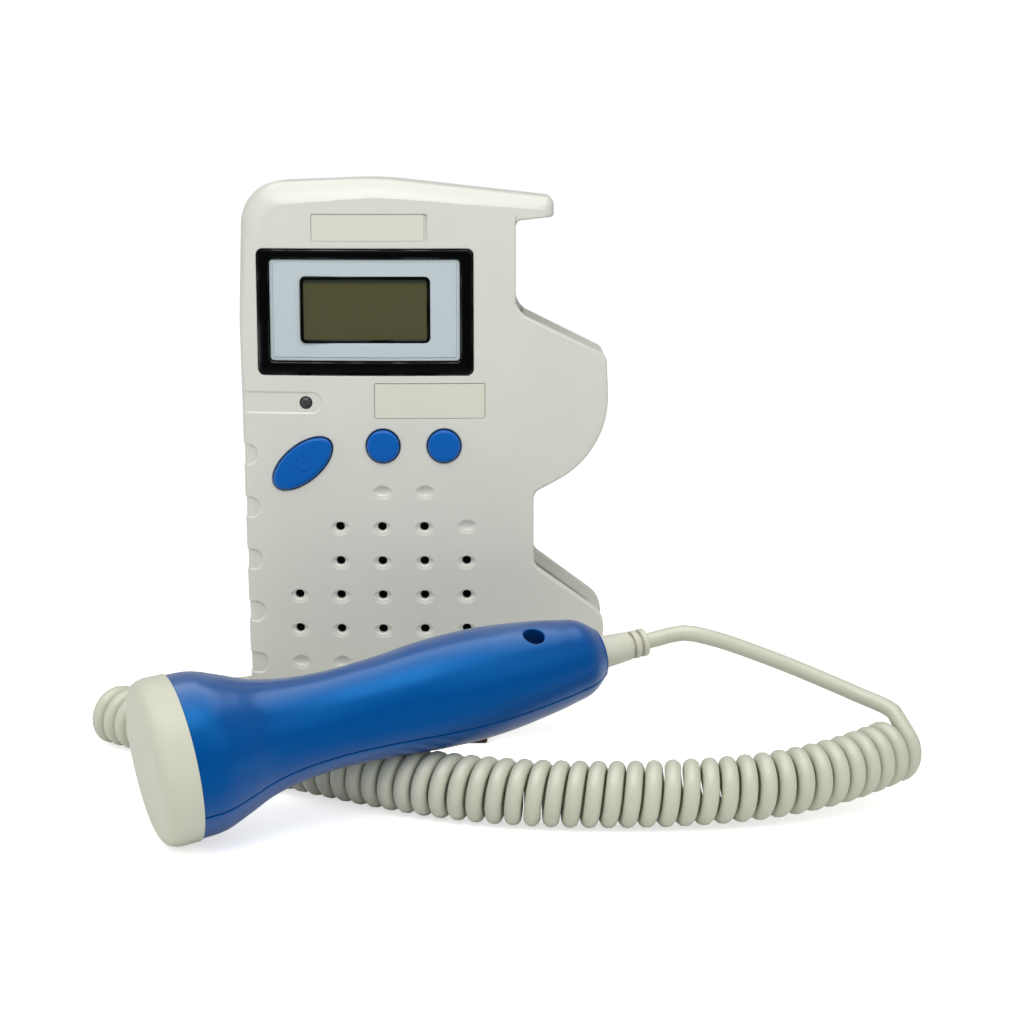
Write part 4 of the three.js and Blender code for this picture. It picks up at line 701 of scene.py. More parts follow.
class EdgeRounding:
    """The rounded edge all along an outline. Its width, depth and meeting angle may change along it."""

    def __init__(self, points, outward, settings):
        self.points, self.outward = points, outward
        self.width, self.drop, self.angle = settings.T
        before = np.linalg.norm(points - np.roll(points, 1, axis=0), axis=1)
        after = np.linalg.norm(points - np.roll(points, -1, axis=0), axis=1)
        self.cover = np.maximum(before, after) / 2

    def profile(self, share, angle):
        """Depth and slope at a share of the width."""
        share = np.clip(share, 0, 1)
        closing = np.radians(angle)
        cosine = 1 - share * (1 - np.cos(closing))
        sine = np.sqrt(np.maximum(1 - cosine ** 2, 1e-4))
        depth = 1 - np.sqrt(np.maximum(1 - cosine ** 2, 0)) / np.sin(closing)
        slope = -cosine / sine * (1 - np.cos(closing)) / np.sin(closing)
        return depth, slope

    def field(self, points):
        """Depth and its two slopes at each point."""
        depth = np.zeros(len(points))
        slopes = np.zeros((len(points), 2))
        for start in range(0, len(points), 4000):
            some = points[start:start + 4000]
            away = self.points[None] - some[:, None]
            inward = np.einsum("pok,ok->po", away, self.outward)
            beside = away[..., 0] * self.outward[:, 1] - away[..., 1] * self.outward[:, 0]
            beside = np.maximum(np.abs(beside) - self.cover, 0)
            share = np.sqrt(inward ** 2 + beside ** 2) / self.width
            each = self.drop * np.where(share < 1, self.profile(share, self.angle)[0], 0)
            best = each.argmax(axis=1)
            rows = np.arange(len(some))
            depth[start:start + 4000] = each[rows, best]
            slope = self.profile(share[rows, best], self.angle[best])[1]
            slope = np.where(each[rows, best] > 0, slope * self.drop[best] / self.width[best], 0)
            slopes[start:start + 4000] = -slope[:, None] * self.outward[best]
        return depth, slopes

    def covers(self, points):
        """Which points lie on the rounding."""
        return self.field(points)[0] > CREASE_DEPTH

    def loops(self):
        """Lines along the rounding, left out where another part of it is deeper."""
        lines = []
        for share in (0.03, 0.08, 0.16, 0.27, 0.4, 0.55, 0.72, 0.87, 0.96, 1.0):
            ring = self.points - self.outward * (self.width * share)[:, None]
            own = self.drop * self.profile(share, self.angle)[0]
            good = np.abs(self.field(ring)[0] - own) < 0.02 * self.drop + 0.01
            run = []
            for index in range(len(ring) + 1):
                if good[index % len(ring)]:
                    run.append(ring[index % len(ring)])
                if (not good[index % len(ring)] or index == len(ring)) and run:
                    if len(run) > 1:
                        lines.append(np.array(run))
                    run = []
        return lines


def rounded_outline(corners, turn_step=7.0, stretch=3.0):
    """Points, outward ways and settings round an outline. A corner is x, z, radius and its settings."""
    count = len(corners)
    runs = []
    for index, (x, z, radius, *_) in enumerate(corners):
        corner = np.array([x, z])
        arriving = corner - corners[index - 1][:2]
        leaving = np.array(corners[(index + 1) % count][:2]) - corner
        arriving, leaving = arriving / np.linalg.norm(arriving), leaving / np.linalg.norm(leaving)
        turn = math.atan2(arriving[0] * leaving[1] - arriving[1] * leaving[0], arriving @ leaving)
        side = math.copysign(1, turn)
        outward = np.array([arriving[1], -arriving[0]])
        centre = corner - arriving * radius * math.tan(abs(turn) / 2) - outward * radius * side
        by_turn, by_length = abs(math.degrees(turn)) / turn_step, abs(turn) * radius / stretch
        steps = max(1, math.ceil(by_turn), math.ceil(by_length))
        run = []
        for angle in np.linspace(0, turn, steps + 1):
            way = np.array([outward[0] * math.cos(angle) - outward[1] * math.sin(angle),
                            outward[0] * math.sin(angle) + outward[1] * math.cos(angle)])
            run.append((centre + way * radius * side, way))
        runs.append(run)
    whole, middles = [], []
    for run, following in zip(runs, runs[1:] + runs[:1]):
        middles.append(len(whole) + (len(run) - 1) / 2)
        whole.extend(run)
        start, (end, way) = run[-1][0], following[0]
        steps = math.ceil(np.linalg.norm(end - start) / stretch)
        whole.extend((start + (end - start) * step / steps, way) for step in range(1, steps))
    points, outward = (np.array([entry[part] for entry in whole]) for part in range(2))
    along = np.concatenate([[0], np.cumsum(np.linalg.norm(np.diff(points, axis=0), axis=1))])
    whole_way = along[-1] + np.linalg.norm(points[0] - points[-1])
    marks = np.interp(middles, np.arange(len(along)), along)
    table = np.array([corner[3:] for corner in corners], float)
    settings = np.zeros((len(points), table.shape[1]))
    for column, values in enumerate(table.T):
        settings[:, column] = np.interp(along, marks, values, period=whole_way)
    return points, outward, settings


# Solids between an outer and an inner surface


def triangulate(loops, lines, points):
    """Triangles over loops, lines and loose points, which may cross."""
    coordinates, edges = [], []
    for line, closed in [(loop, True) for loop in loops] + [(line, False) for line in lines]:
        first, count = len(coordinates), len(line)
        coordinates.extend(line)
        steps = range(count if closed else count - 1)
        edges.extend((first + step, first + (step + 1) % count) for step in steps)
    coordinates.extend(points)
    result = delaunay_2d_cdt([Vector(c) for c in coordinates], edges, [], 0, 1e-5)
    return np.array([tuple(v) for v in result[0]]), np.array(result[2])


class Skin:
    """Points and faces with a normal for every corner of a face."""

    def __init__(self):
        self.points, self.faces, self.normals = [], [], []

    def add_point(self, spot):
        self.points.append(tuple(spot))
        return len(self.points) - 1

    def add_face(self, corners, normals):
        self.faces.append(tuple(int(c) for c in corners))
        self.normals.extend(map(tuple, normals))


def spread_points(low, high, spacing, loops):
    """Loose points on a grid that keep clear of the loops."""
    across = np.arange(low[0] + spacing / 2, high[0], spacing)
    up = np.arange(low[1] + spacing / 2, high[1], spacing)
    grid = np.stack(np.meshgrid(across, up), axis=-1).reshape(-1, 2)
    marks = np.concatenate(loops)
    clear = np.ones(len(grid), bool)
    for start in range(0, len(marks), 2000):
        away = np.linalg.norm(grid[:, None] - marks[None, start:start + 2000], axis=2)
        clear &= away.min(axis=1) > spacing * 0.55
    return grid[clear]


def two_sided(skin, boundary, cutouts, loops, lines, outer, inner, spacing=4.0, extra=()):
    """Adds a closed solid. Outer and inner are lists of a test and a surface, and the last test that
    holds picks the surface. A surface gives the places, normals and levels of points."""
    closed = [boundary, *cutouts, *loops]
    loose = spread_points(boundary.min(axis=0), boundary.max(axis=0), spacing, [*closed, *lines])
    for piece in extra:
        loose = np.concatenate([loose, piece])
    flat, faces = triangulate(closed, lines, loose)
    centres = flat[faces].mean(axis=1)
    a, b, c = (flat[faces[:, k]] for k in range(3))
    area = (b[:, 0] - a[:, 0]) * (c[:, 1] - a[:, 1]) - (b[:, 1] - a[:, 1]) * (c[:, 0] - a[:, 0])
    keep = inside(centres, boundary) & (np.abs(area) > 1e-7)
    for cutout in cutouts:
        keep &= ~inside(centres, cutout)
    faces, centres = faces[keep], centres[keep]

    columns, labels, tables = {}, [], []
    for regions in (outer, inner):
        label = np.zeros(len(faces), int)
        for number, (test, _) in enumerate(regions):
            label[test(centres)] = number
        table = {}
        for number, (_, surface) in enumerate(regions):
            used = np.unique(faces[label == number])
            if not len(used):
                continue
            spots, normals, levels = surface(flat[used])
            index, normal, level = {}, {}, {}
            for row, vertex in enumerate(map(int, used)):
                key = round(float(levels[row]), 4)
                column = columns.setdefault(vertex, {})
                if key not in column:
                    column[key] = skin.add_point(spots[row])
                index[vertex], normal[vertex], level[vertex] = column[key], normals[row], key
            table[number] = (index, normal, level)
        labels.append(label)
        tables.append(table)

    for label, table in zip(labels, tables):
        index = np.array([[table[n][0][int(v)] for v in corners] for corners, n in zip(faces, label)])
        normal = np.array([[table[n][1][int(v)] for v in corners] for corners, n in zip(faces, label)])
        add_triangles(skin, index, normal)

    walls = [[], [], []]
    edges = {}
    for number, corners in enumerate(faces):
        for start, end in zip(corners, np.roll(corners, -1)):
            edges.setdefault((int(min(start, end)), int(max(start, end))), []).append(number)
    for (start, end), owners in edges.items():
        if len(owners) == 1:
            owner = owners[0]
            top, bottom = tables[0][labels[0][owner]][2], tables[1][labels[1][owner]][2]
            middle = (flat[start] + flat[end]) / 2
            walls[2].append((start, end, (top[start], bottom[start]), (top[end], bottom[end]),
                             middle - centres[owner]))
            continue
        first, second = owners[:2]
        for side in (0, 1):
            one, other = labels[side][first], labels[side][second]
            if one == other:
                continue
            here, there = tables[side][one][2], tables[side][other][2]
            opposite = tables[1 - side][labels[1 - side][first]][2]
            reach = abs(opposite[start] + opposite[end] - here[start] - here[end])
            reach_there = abs(opposite[start] + opposite[end] - there[start] - there[end])
            empty, full = (first, second) if reach < reach_there else (second, first)
            walls[side].append((start, end, (here[start], there[start]), (here[end], there[end]),
                                centres[empty] - centres[full]))
    for group in walls:
        add_walls(skin, group, flat, columns, outer[0][1])


def add_triangles(skin, index, normal):
    """Triangles, each turned so that it faces the way that its normals do."""
    spots = np.array(skin.points)
    a, b, c = (spots[index[:, corner]] for corner in range(3))
    turned_away = np.einsum("fk,fk->f", np.cross(b - a, c - a), normal.sum(axis=1)) < 0
    index[turned_away] = index[turned_away][:, ::-1]
    normal[turned_away] = normal[turned_away][:, ::-1]
    whole = (index[:, 0] != index[:, 1]) & (index[:, 1] != index[:, 2]) & (index[:, 2] != index[:, 0])
    for corners, normals in zip(index[whole].tolist(), normal[whole].tolist()):
        skin.add_face(corners, normals)


def add_walls(skin, group, flat, columns, surface):
    """Faces across the edges of a group, their normals shared where they turn gently."""
    if not group:
        return
    starts, ends = (flat[[entry[part] for entry in group]] for part in (0, 1))
    along = ends - starts
    acrosses = np.stack([along[:, 1], -along[:, 0]], axis=1)
    acrosses /= np.maximum(np.linalg.norm(acrosses, axis=1), 1e-9)[:, None]
    ways = np.array([entry[4] for entry in group])
    acrosses[np.einsum("wk,wk->w", acrosses, ways) < 0] *= -1
    middles = (starts + ends) / 2
    targets = surface(middles + acrosses * 0.01)[0] - surface(middles)[0]
    ready, owners = [], {}
    for (start, end, start_span, end_span, _), across, target in zip(group, acrosses, targets):
        ring = column_part(columns[start], *start_span) + column_part(columns[end], *end_span)[::-1]
        ring = [r for i, r in enumerate(ring) if r != ring[i - 1]]
        if len(set(ring)) < 3:
            continue
        normal = polygon_normal([skin.points[r] for r in ring])
        if normal @ target < 0:
            ring, normal = ring[::-1], -normal
        for vertex in (start, end):
            owners.setdefault(vertex, []).append(len(ready))
        ready.append((ring, normal, start, end, across))
    for ring, normal, start, end, across in ready:
        smooth = {}
        for vertex in (start, end):
            total = sum(ready[other][1] for other in owners[vertex] if ready[other][4] @ across > 0.8)
            smooth[vertex] = total / max(math.sqrt(total @ total), 1e-9)
        edge = set(columns[start].values())
        skin.add_face(ring, [smooth[start] if r in edge else smooth[end] for r in ring])


def column_part(column, first, last):
    """The points of a column between two levels, from the first to the last."""
    low, high = min(first, last), max(first, last)
    picked = [column[level] for level in sorted(column) if low <= level <= high]
    return picked if first <= last else picked[::-1]


def polygon_normal(points):
    x = y = z = 0.0
    for (ax, ay, az), (bx, by, bz) in zip(points, points[1:] + points[:1]):
        x += ay * bz - az * by
        y += az * bx - ax * bz
        z += ax * by - ay * bx
    return np.array([x, y, z]) / max(math.sqrt(x * x + y * y + z * z), 1e-12)


def everywhere(points):
    return np.ones(len(points), bool)


def relief_surface(base, side, features=(), edge=None, level_face=False):
    """A surface along Y: its own depth plus what the features take off it. Side is -1 in front. A level
    face keeps the depth of its rounded edge but not its slope, which leaves a crisp crease."""

    def relief(points):
        return sum((feature.depth(points) for feature in features), np.zeros(len(points)))

    def surface(points):
        step = 0.02
        slopes = np.stack([
            (relief(points + np.array(way) * step) - relief(points - np.array(way) * step)) / (2 * step)
            for way in ((1, 0), (0, 1))
        ], axis=1)
        slopes = np.clip(slopes, -8, 8)
        depth = relief(points)
        if edge:
            edge_depth, edge_slopes = edge.field(points)
            depth = depth + edge_depth
            slopes = slopes + edge_slopes * (not level_face)
        level = base(points[:, 0]) - side * depth
        bend = (base(points[:, 0] + step) - base(points[:, 0] - step)) / (2 * step)
        normals = np.stack([slopes[:, 0] - side * bend, bend * 0 + side, slopes[:, 1]], axis=1)
        normals /= np.linalg.norm(normals, axis=1)[:, None]
        return np.stack([points[:, 0], level, points[:, 1]], axis=1), normals, level

    return surface


def level_base(depth):
    return lambda x: x * 0 + depth


def flat_surface(depth, side, base=None):
    """A plain surface at a depth, or at a depth from the curved face."""
    return relief_surface((lambda x: base(x) + depth) if base else level_base(depth), side)


def shape_test(shape):
    return lambda points: shape.gap(points) < 0


def link_piece(name, mesh):
    piece = bpy.data.objects.new(name, mesh)
    bpy.context.scene.collection.objects.link(piece)
    return piece


def make_piece(name, skin, transform=None):
    """An object from a skin, in the hand unit's frame or moved there by a matrix."""
    points, normals = skin.points, skin.normals
    if transform is not None:
        turn = transform.to_3x3()
        points = [transform @ Vector(p) for p in points]
        normals = [tuple(turn @ Vector(n)) for n in normals]
    mesh = bpy.data.meshes.new(name)
    mesh.from_pydata([place(p) for p in points], [], skin.faces)
    mesh.polygons.foreach_set("use_smooth", [True] * len(mesh.polygons))
    mesh.normals_split_custom_set(normals)
    return link_piece(name, mesh)


def merged_piece(name, parts, transform=None, sharp=35.0):
    """A mesh object from pairs of points and faces, with edges sharper than an angle kept sharp."""
    points, faces = [], []
    for part_points, part_faces in parts:
        first = len(points)
        points.extend(part_points)
        faces.extend(tuple(int(i) + first for i in face) for face in part_faces)
    if transform is not None:
        points = [transform @ Vector(p) for p in points]
    mesh = bpy.data.meshes.new(name)
    mesh.from_pydata([place(p) for p in points], [], faces)
    mesh.polygons.foreach_set("use_smooth", [True] * len(mesh.polygons))
    mesh.set_sharp_from_angle(angle=math.radians(sharp))
    return link_piece(name, mesh)


def dress(piece, slot, body=UNIT, replaced=()):
    """Gives a piece the material named by its slot, puts it under its body's empty, and hides the solids that
    it stands for.
    """
    piece.data.materials.append(material_of(slot))
    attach(piece, body)
    if replaced:
        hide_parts(*replaced)
    return piece


def outwards(points, faces):
    """Turns a closed body's faces outwards."""
    array = np.array(points)
    volume = 0.0
    for face in faces:
        for second, third in zip(face[1:-1], face[2:]):
            volume += array[face[0]] @ np.cross(array[second], array[third])
    return (points, faces) if volume > 0 else (points, [tuple(face)[::-1] for face in faces])


def skinned(rings):
    """A closed body through rings of equally many points, its ends capped."""
    count = len(rings[0])
    points = [tuple(p) for ring in rings for p in ring]
    faces = []
    for layer in range(len(rings) - 1):
        for step in range(count):
            a, b = layer * count + step, layer * count + (step + 1) % count
            faces.append((a, b, b + count, a + count))
    faces.append(tuple(range(count))[::-1])
    faces.append(tuple((len(rings) - 1) * count + step for step in range(count)))
    return outwards(points, faces)


def turned(profile, axis="x", origin=(0.0, 0.0, 0.0), sides=64):
    """A turned body from pairs of place along its axis and radius. A radius of zero closes an end."""
    points, rows, faces = [], [], []
    for along, radius in profile:
        if radius < 1e-6:
            rows.append([len(points)] * sides)
            points.append((along, 0.0, 0.0))
            continue
        rows.append(list(range(len(points), len(points) + sides)))
        for step in range(sides):
            angle = 2 * math.pi * step / sides
            points.append((along, radius * math.cos(angle), radius * math.sin(angle)))
    for row, following in zip(rows, rows[1:]):
        for step in range(sides):
            ring = (row[step], row[(step + 1) % sides], following[(step + 1) % sides], following[step])
            ring = tuple(dict.fromkeys(ring))
            if len(ring) > 2:
                faces.append(ring)
    if axis == "y":
        points = [(y, x, z) for x, y, z in points]
    return outwards([tuple(np.add(p, origin)) for p in points], faces)


def softened(points, steps=4):
    """A profile whose corners are rounded. Each point is a place, a radius and its own rounding."""
    profile = []
    for index, (x, y, rounding) in enumerate(points):
        if rounding <= 0 or index in (0, len(points) - 1):
            profile.append((x, y))
            continue
        here = np.array([x, y])
        before, after = np.array(points[index - 1][:2]) - here, np.array(points[index + 1][:2]) - here
        reach = min(rounding, np.linalg.norm(before) * 0.49, np.linalg.norm(after) * 0.49)
        start = here + before / np.linalg.norm(before) * reach
        end = here + after / np.linalg.norm(after) * reach
        for share in np.linspace(0, 1, steps + 1):
            rest = 1 - share
            profile.append(tuple(start * rest ** 2 + here * 2 * share * rest + end * share ** 2))
    return profile


def rounded_block(low, high, rounding, turns=4):
    """A block with rounded edges."""
    low, high = np.array(low, float), np.array(high, float)
    centre, half = (low + high) / 2, (high - low) / 2
    rounding = min(rounding, *(half * 0.95))
    rings = []
    for side in (-1, 1):
        for rise in np.linspace(90, 0, turns + 1)[::side]:
            shrink = rounding * (1 - math.cos(math.radians(rise)))
            height = side * (half[2] - rounding + rounding * math.sin(math.radians(rise)))
            shape = RoundedBox(centre[0], centre[1], 2 * (half[0] - shrink), 2 * (half[1] - shrink),
                               max(rounding - shrink, 0.02))
            rings.append([(x, y, centre[2] + height) for x, y in shape.loop(0, turns + 1, 1e6)])
    return skinned(rings)


# The case


def case_outline():
    return rounded_outline([(*corner_place(name), *CORNERS[name][3:]) for name in CORNERS])


def notch_middles():
    return [NOTCH_TOP_Z - index * NOTCH_PITCH for index in range(NOTCH_COUNT)]


def fluted(loop):
    """The outline with a small step beside each grip notch."""
    middles, band = notch_middles(), LEFT_X + NOTCH_BAND
    tops = [middle + NOTCH_HEIGHT / 2 for middle in middles]
    feet = [middle - NOTCH_HEIGHT / 2 for middle in middles]
    into, out_of = [(0, 0), (NOTCH_STEP, -NOTCH_SLANT)], [(NOTCH_STEP, NOTCH_SLANT), (0, 0)]
    points = []
    for start, end in zip(loop, np.roll(loop, -1, axis=0)):
        beside = start[0] < band and any(low < start[1] < high for low, high in zip(feet, tops))
        points.append(start + (NOTCH_STEP if beside else 0, 0))
        if max(start[0], end[0]) > band or end[1] >= start[1]:
            continue
        for mark in sorted((m for m in (*tops, *feet) if end[1] < m < start[1]), reverse=True):
            on = start + (end - start) * (start[1] - mark) / (start[1] - end[1])
            points.extend(on + np.array(shift) for shift in (into if mark in tops else out_of))
    return np.array(points)


def cavity_loop():
    slope, tip = corner_place("base_rise"), corner_place("lower_lobe_tip")
    rise = (tip[1] - slope[1]) * (CAVITY_RIGHT - slope[0]) / (tip[0] - slope[0])
    return rounded_outline([
        (CAVITY_LEFT, CAVITY_BOTTOM, SIDE_WALL),
        (corner_place("base_right")[0] - SIDE_WALL, CAVITY_BOTTOM, BACK_WALL),
        (CAVITY_RIGHT, slope[1] + rise + SIDE_WALL, BACK_WALL),
        (CAVITY_RIGHT, CAVITY_TOP - BACK_WALL, BACK_WALL),
        (CAVITY_LEFT, CAVITY_TOP, corner_place("top_left")[2] - SIDE_WALL),
    ], 15, 6)[0]


def cord_slot_lines():
    """Lines across the left wall where the cord's grip passes through the seam."""
    heights = GRIP_HEIGHT + GRIP_BORE * np.array([-0.999, -0.92, -0.7, -0.38, 0, 0.38, 0.7, 0.92, 0.999])
    return [np.array([[LEFT_X - 1, height], [CAVITY_LEFT + 1, height]]) for height in heights]


def in_cord_slot(points):
    return (points[:, 0] < CAVITY_LEFT + 0.01) & (np.abs(points[:, 1] - GRIP_HEIGHT) < GRIP_BORE)


def cord_slot_surface(side):
    """The half round of the grip's hole on one side of the seam."""

    def surface(points):
        rise = np.sqrt(np.maximum(GRIP_BORE ** 2 - (points[:, 1] - GRIP_HEIGHT) ** 2, 0))
        level = SEAM_DEPTH + side * np.where(rise < 0.2, REST_GAP / 2, rise)
        spots = np.stack([points[:, 0], level, points[:, 1]], axis=1)
        normals = np.stack([level * 0, -side * (rise + 0.01), GRIP_HEIGHT - points[:, 1]], axis=1)
        return spots, normals / np.linalg.norm(normals, axis=1)[:, None], level

    return surface


def in_dock(points):
    return (points[:, 0] > NECK_X) & (points[:, 1] < DOCK_TOP_Z)


def dock_line():
    """Where the dock's thin lobes meet the full case."""
    return np.array([[NECK_X, z] for z in np.linspace(3, DOCK_TOP_Z + 2, 50)])


def grille_places():
    for row, marks in GRILLE_ROWS:
        for column, mark in enumerate(marks):
            if mark != ".":
                yield GRILLE_X + (column - 2) * GRILLE_PITCH[0], GRILLE_Z - row * GRILLE_PITCH[1], mark == "o"


def rim_box():
    return RoundedBox(DISPLAY_X, DISPLAY_Z - RIM_TOP_CUT / 2, DISPLAY_SIZE[0], DISPLAY_SIZE[1] - RIM_TOP_CUT,
                      DISPLAY_CORNER)


# Top of the LCD's glass, below which the painted shadow of the frame lies.
def lcd_top():
    return (LCD_Z + LCD_SIZE[1] / 2 - LCD_BORDER) * MM


def window_box(gap=0.0):
    """The opening of the rim, or what fits in it with a gap all round."""
    left, right, bottom, top = WINDOW_SIDES
    half = np.array(DISPLAY_SIZE) / 2
    return within(DISPLAY_X - half[0] + left + gap, DISPLAY_X + half[0] - right - gap,
                  DISPLAY_Z - half[1] + bottom + gap, DISPLAY_Z + half[1] - top - gap,
                  max(WINDOW_CORNER - gap, 0.3))


def title_box():
    return RoundedBox(DISPLAY_X + TITLE_SHIFT, TITLE_Z, *TITLE_FACE, PLATE_CORNER)


def blank_box():
    return RoundedBox(BLANK_X, BLANK_Z + BLANK_LIFT, *BLANK_FACE, PLATE_CORNER)


def disc(x, z, radius):
    return Oval(x, z, radius, radius)


def screw_discs(radius):
    return [disc(x, z, radius) for x, z in SCREWS]


def front_features():
    """The openings and recesses of the case's front."""
    lamp_panel = within(LAMP_X + LAMP_PANEL_REACH - LAMP_PANEL[0] - PAST_EDGE, LAMP_X + LAMP_PANEL_REACH,
                        LAMP_Z - LAMP_PANEL[1] / 2, LAMP_Z + LAMP_PANEL[1] / 2, LAMP_PANEL_CORNER)
    rim, title, blank = rim_box(), title_box(), blank_box()
    room, rounding = DISPLAY_HOLE
    low, high = title.centre - title.half - PLATE_GAP / 2, title.centre + title.half + PLATE_GAP / 2
    title_recess = within(low[0], high[0] + TITLE_GROOVE, low[1], high[1], PLATE_CORNER + 0.1)
    blank_recess = RoundedBox(*blank.centre, *(2 * blank.half + 2 * PLATE_GAP), PLATE_CORNER + 0.2)
    power_hole = Oval(POWER_X, POWER_Z, POWER_HALF[0] + SLIDE_GAP, POWER_HALF[1] + SLIDE_GAP, POWER_TILT)
    features = [
        Opening(RoundedBox(*rim.centre, *(2 * rim.half + 2 * room), DISPLAY_CORNER + room), rounding),
        Pocket(title_recess, *PLATE_RECESS),
        Pocket(blank_recess, *PLATE_RECESS),
        Pocket(lamp_panel, *LAMP_PANEL_RECESS),
        Opening(disc(LAMP_X, LAMP_Z, LAMP_RADIUS + LAMP_GAP), 0.15),
        *[Opening(disc(x, BUTTON_Z, BUTTON_RADIUS + SLIDE_GAP), BUTTON_HOLE_ROUNDING)
          for x in (LEFT_BUTTON_X, RIGHT_BUTTON_X)],
        Opening(power_hole, BUTTON_HOLE_ROUNDING),
    ]
    for x, z, is_open in grille_places():
        shift = (0, DIMPLE_DROP) if is_open else (DIMPLE_SHIFT, DIMPLE_SHIFT)
        bowl_z = z - shift[1] + DIMPLE_HALF[1] - BOWL_HALF[1]
        features.append(Dimple(Oval(x + shift[0], z - shift[1], *DIMPLE_HALF), DIMPLE_DEPTH, DIMPLE_POWER))
        features.append(Dimple(Oval(x + shift[0], bowl_z, *BOWL_HALF), BOWL_DEPTH, BOWL_POWER))
        if is_open:
            features.append(Opening(disc(x, z, GRILLE_HOLE), GRILLE_HOLE_ROUNDING))
    for index, middle in enumerate(notch_middles()):
        reach = NOTCH_REACH + index * NOTCH_GROWTH
        across = LEFT_X + reach / 2 - PAST_EDGE / 2
        notch = RoundedBox(across, middle, reach + PAST_EDGE, NOTCH_HEIGHT, NOTCH_CORNER)
        features.append(Pocket(notch, NOTCH_SINK, NOTCH_EDGE))
    return features


class DOPPLER_OT_front_case(bpy.types.Operator):
    """Moulds the front half of the case with its openings, grille and grip notches"""

    bl_idname = "doppler.front_case"
    bl_label = "Front Case"

    def execute(self, context):
        points, outward, settings = case_outline()
        edge = EdgeRounding(points, outward, settings)
        features = front_features()
        seam = SEAM_DEPTH - REST_GAP / 2
        bosses, bores = screw_discs(PILOT_BOSS_RADIUS), screw_discs(PILOT_RADIUS)
        cavity = cavity_loop()
        inner = [
            (everywhere, flat_surface(seam, 1)),
            (in_cord_slot, cord_slot_surface(-1)),
            (lambda p: inside(p, cavity), flat_surface(FACE_WALL, 1, face_depth)),
            *[(shape_test(boss), flat_surface(seam, 1)) for boss in bosses],
            *[(shape_test(bore), flat_surface(PILOT_END, 1)) for bore in bores],
            (in_dock, flat_surface(FRONT_LOBE_WALL, 1, face_depth)),
        ]
        loops = [cavity, *[shape.loop(0, 24) for shape in (*bosses, *bores)]]
        loops += [loop for feature in features for loop in feature.loops()]
        visor = np.stack(np.meshgrid(*VISOR_PATCH), axis=-1).reshape(-1, 2)
        skin = Skin()
        two_sided(skin, fluted(points), [f.cutout for f in features if f.cutout is not None], loops,
                  [*edge.loops(), *cord_slot_lines(), dock_line()],
                  [(everywhere, relief_surface(face_depth, -1, features, edge, True)),
                   (edge.covers, relief_surface(face_depth, -1, features, edge))], inner, 4.0, [visor])
        dress(make_piece("front_case", skin), "case_white", UNIT, ["front_shell"])
        return {"FINISHED"}


def ring_edge(loop, outward, settings):
    return EdgeRounding(loop, outward, np.tile(np.array(settings, float), (len(loop), 1)))


def oval_edge(shape, settings, sides=72):
    loop = shape.loop(0, sides)
    outward = shape.loop(1, sides) - loop
    return ring_edge(loop, outward / np.linalg.norm(outward, axis=1)[:, None], settings)


def box_edge(box, settings):
    (x, z), (half_x, half_z) = box.centre, box.half
    corners = [(x + sx * half_x, z + sz * half_z, box.radius, *settings)
               for sx, sz in ((-1, -1), (1, -1), (1, 1), (-1, 1))]
    return EdgeRounding(*rounded_outline(corners, 12, 4))


def within(low_x, high_x, low_z, high_z, rounding=0.02):
    """A rectangle between its sides."""
    return RoundedBox((low_x + high_x) / 2, (low_z + high_z) / 2, high_x - low_x, high_z - low_z, rounding)


def tab_places():
    return [BAY_X + side * TAB_SPACING / 2 for side in (-1, 1)]


def tab_windows(low_z, high_z):
    """A window for each tab of the door, between two heights."""
    half = TAB_WIDTH / 2 + DOOR_GAP
    return [within(x - half, x + half, low_z, high_z) for x in tab_places()]


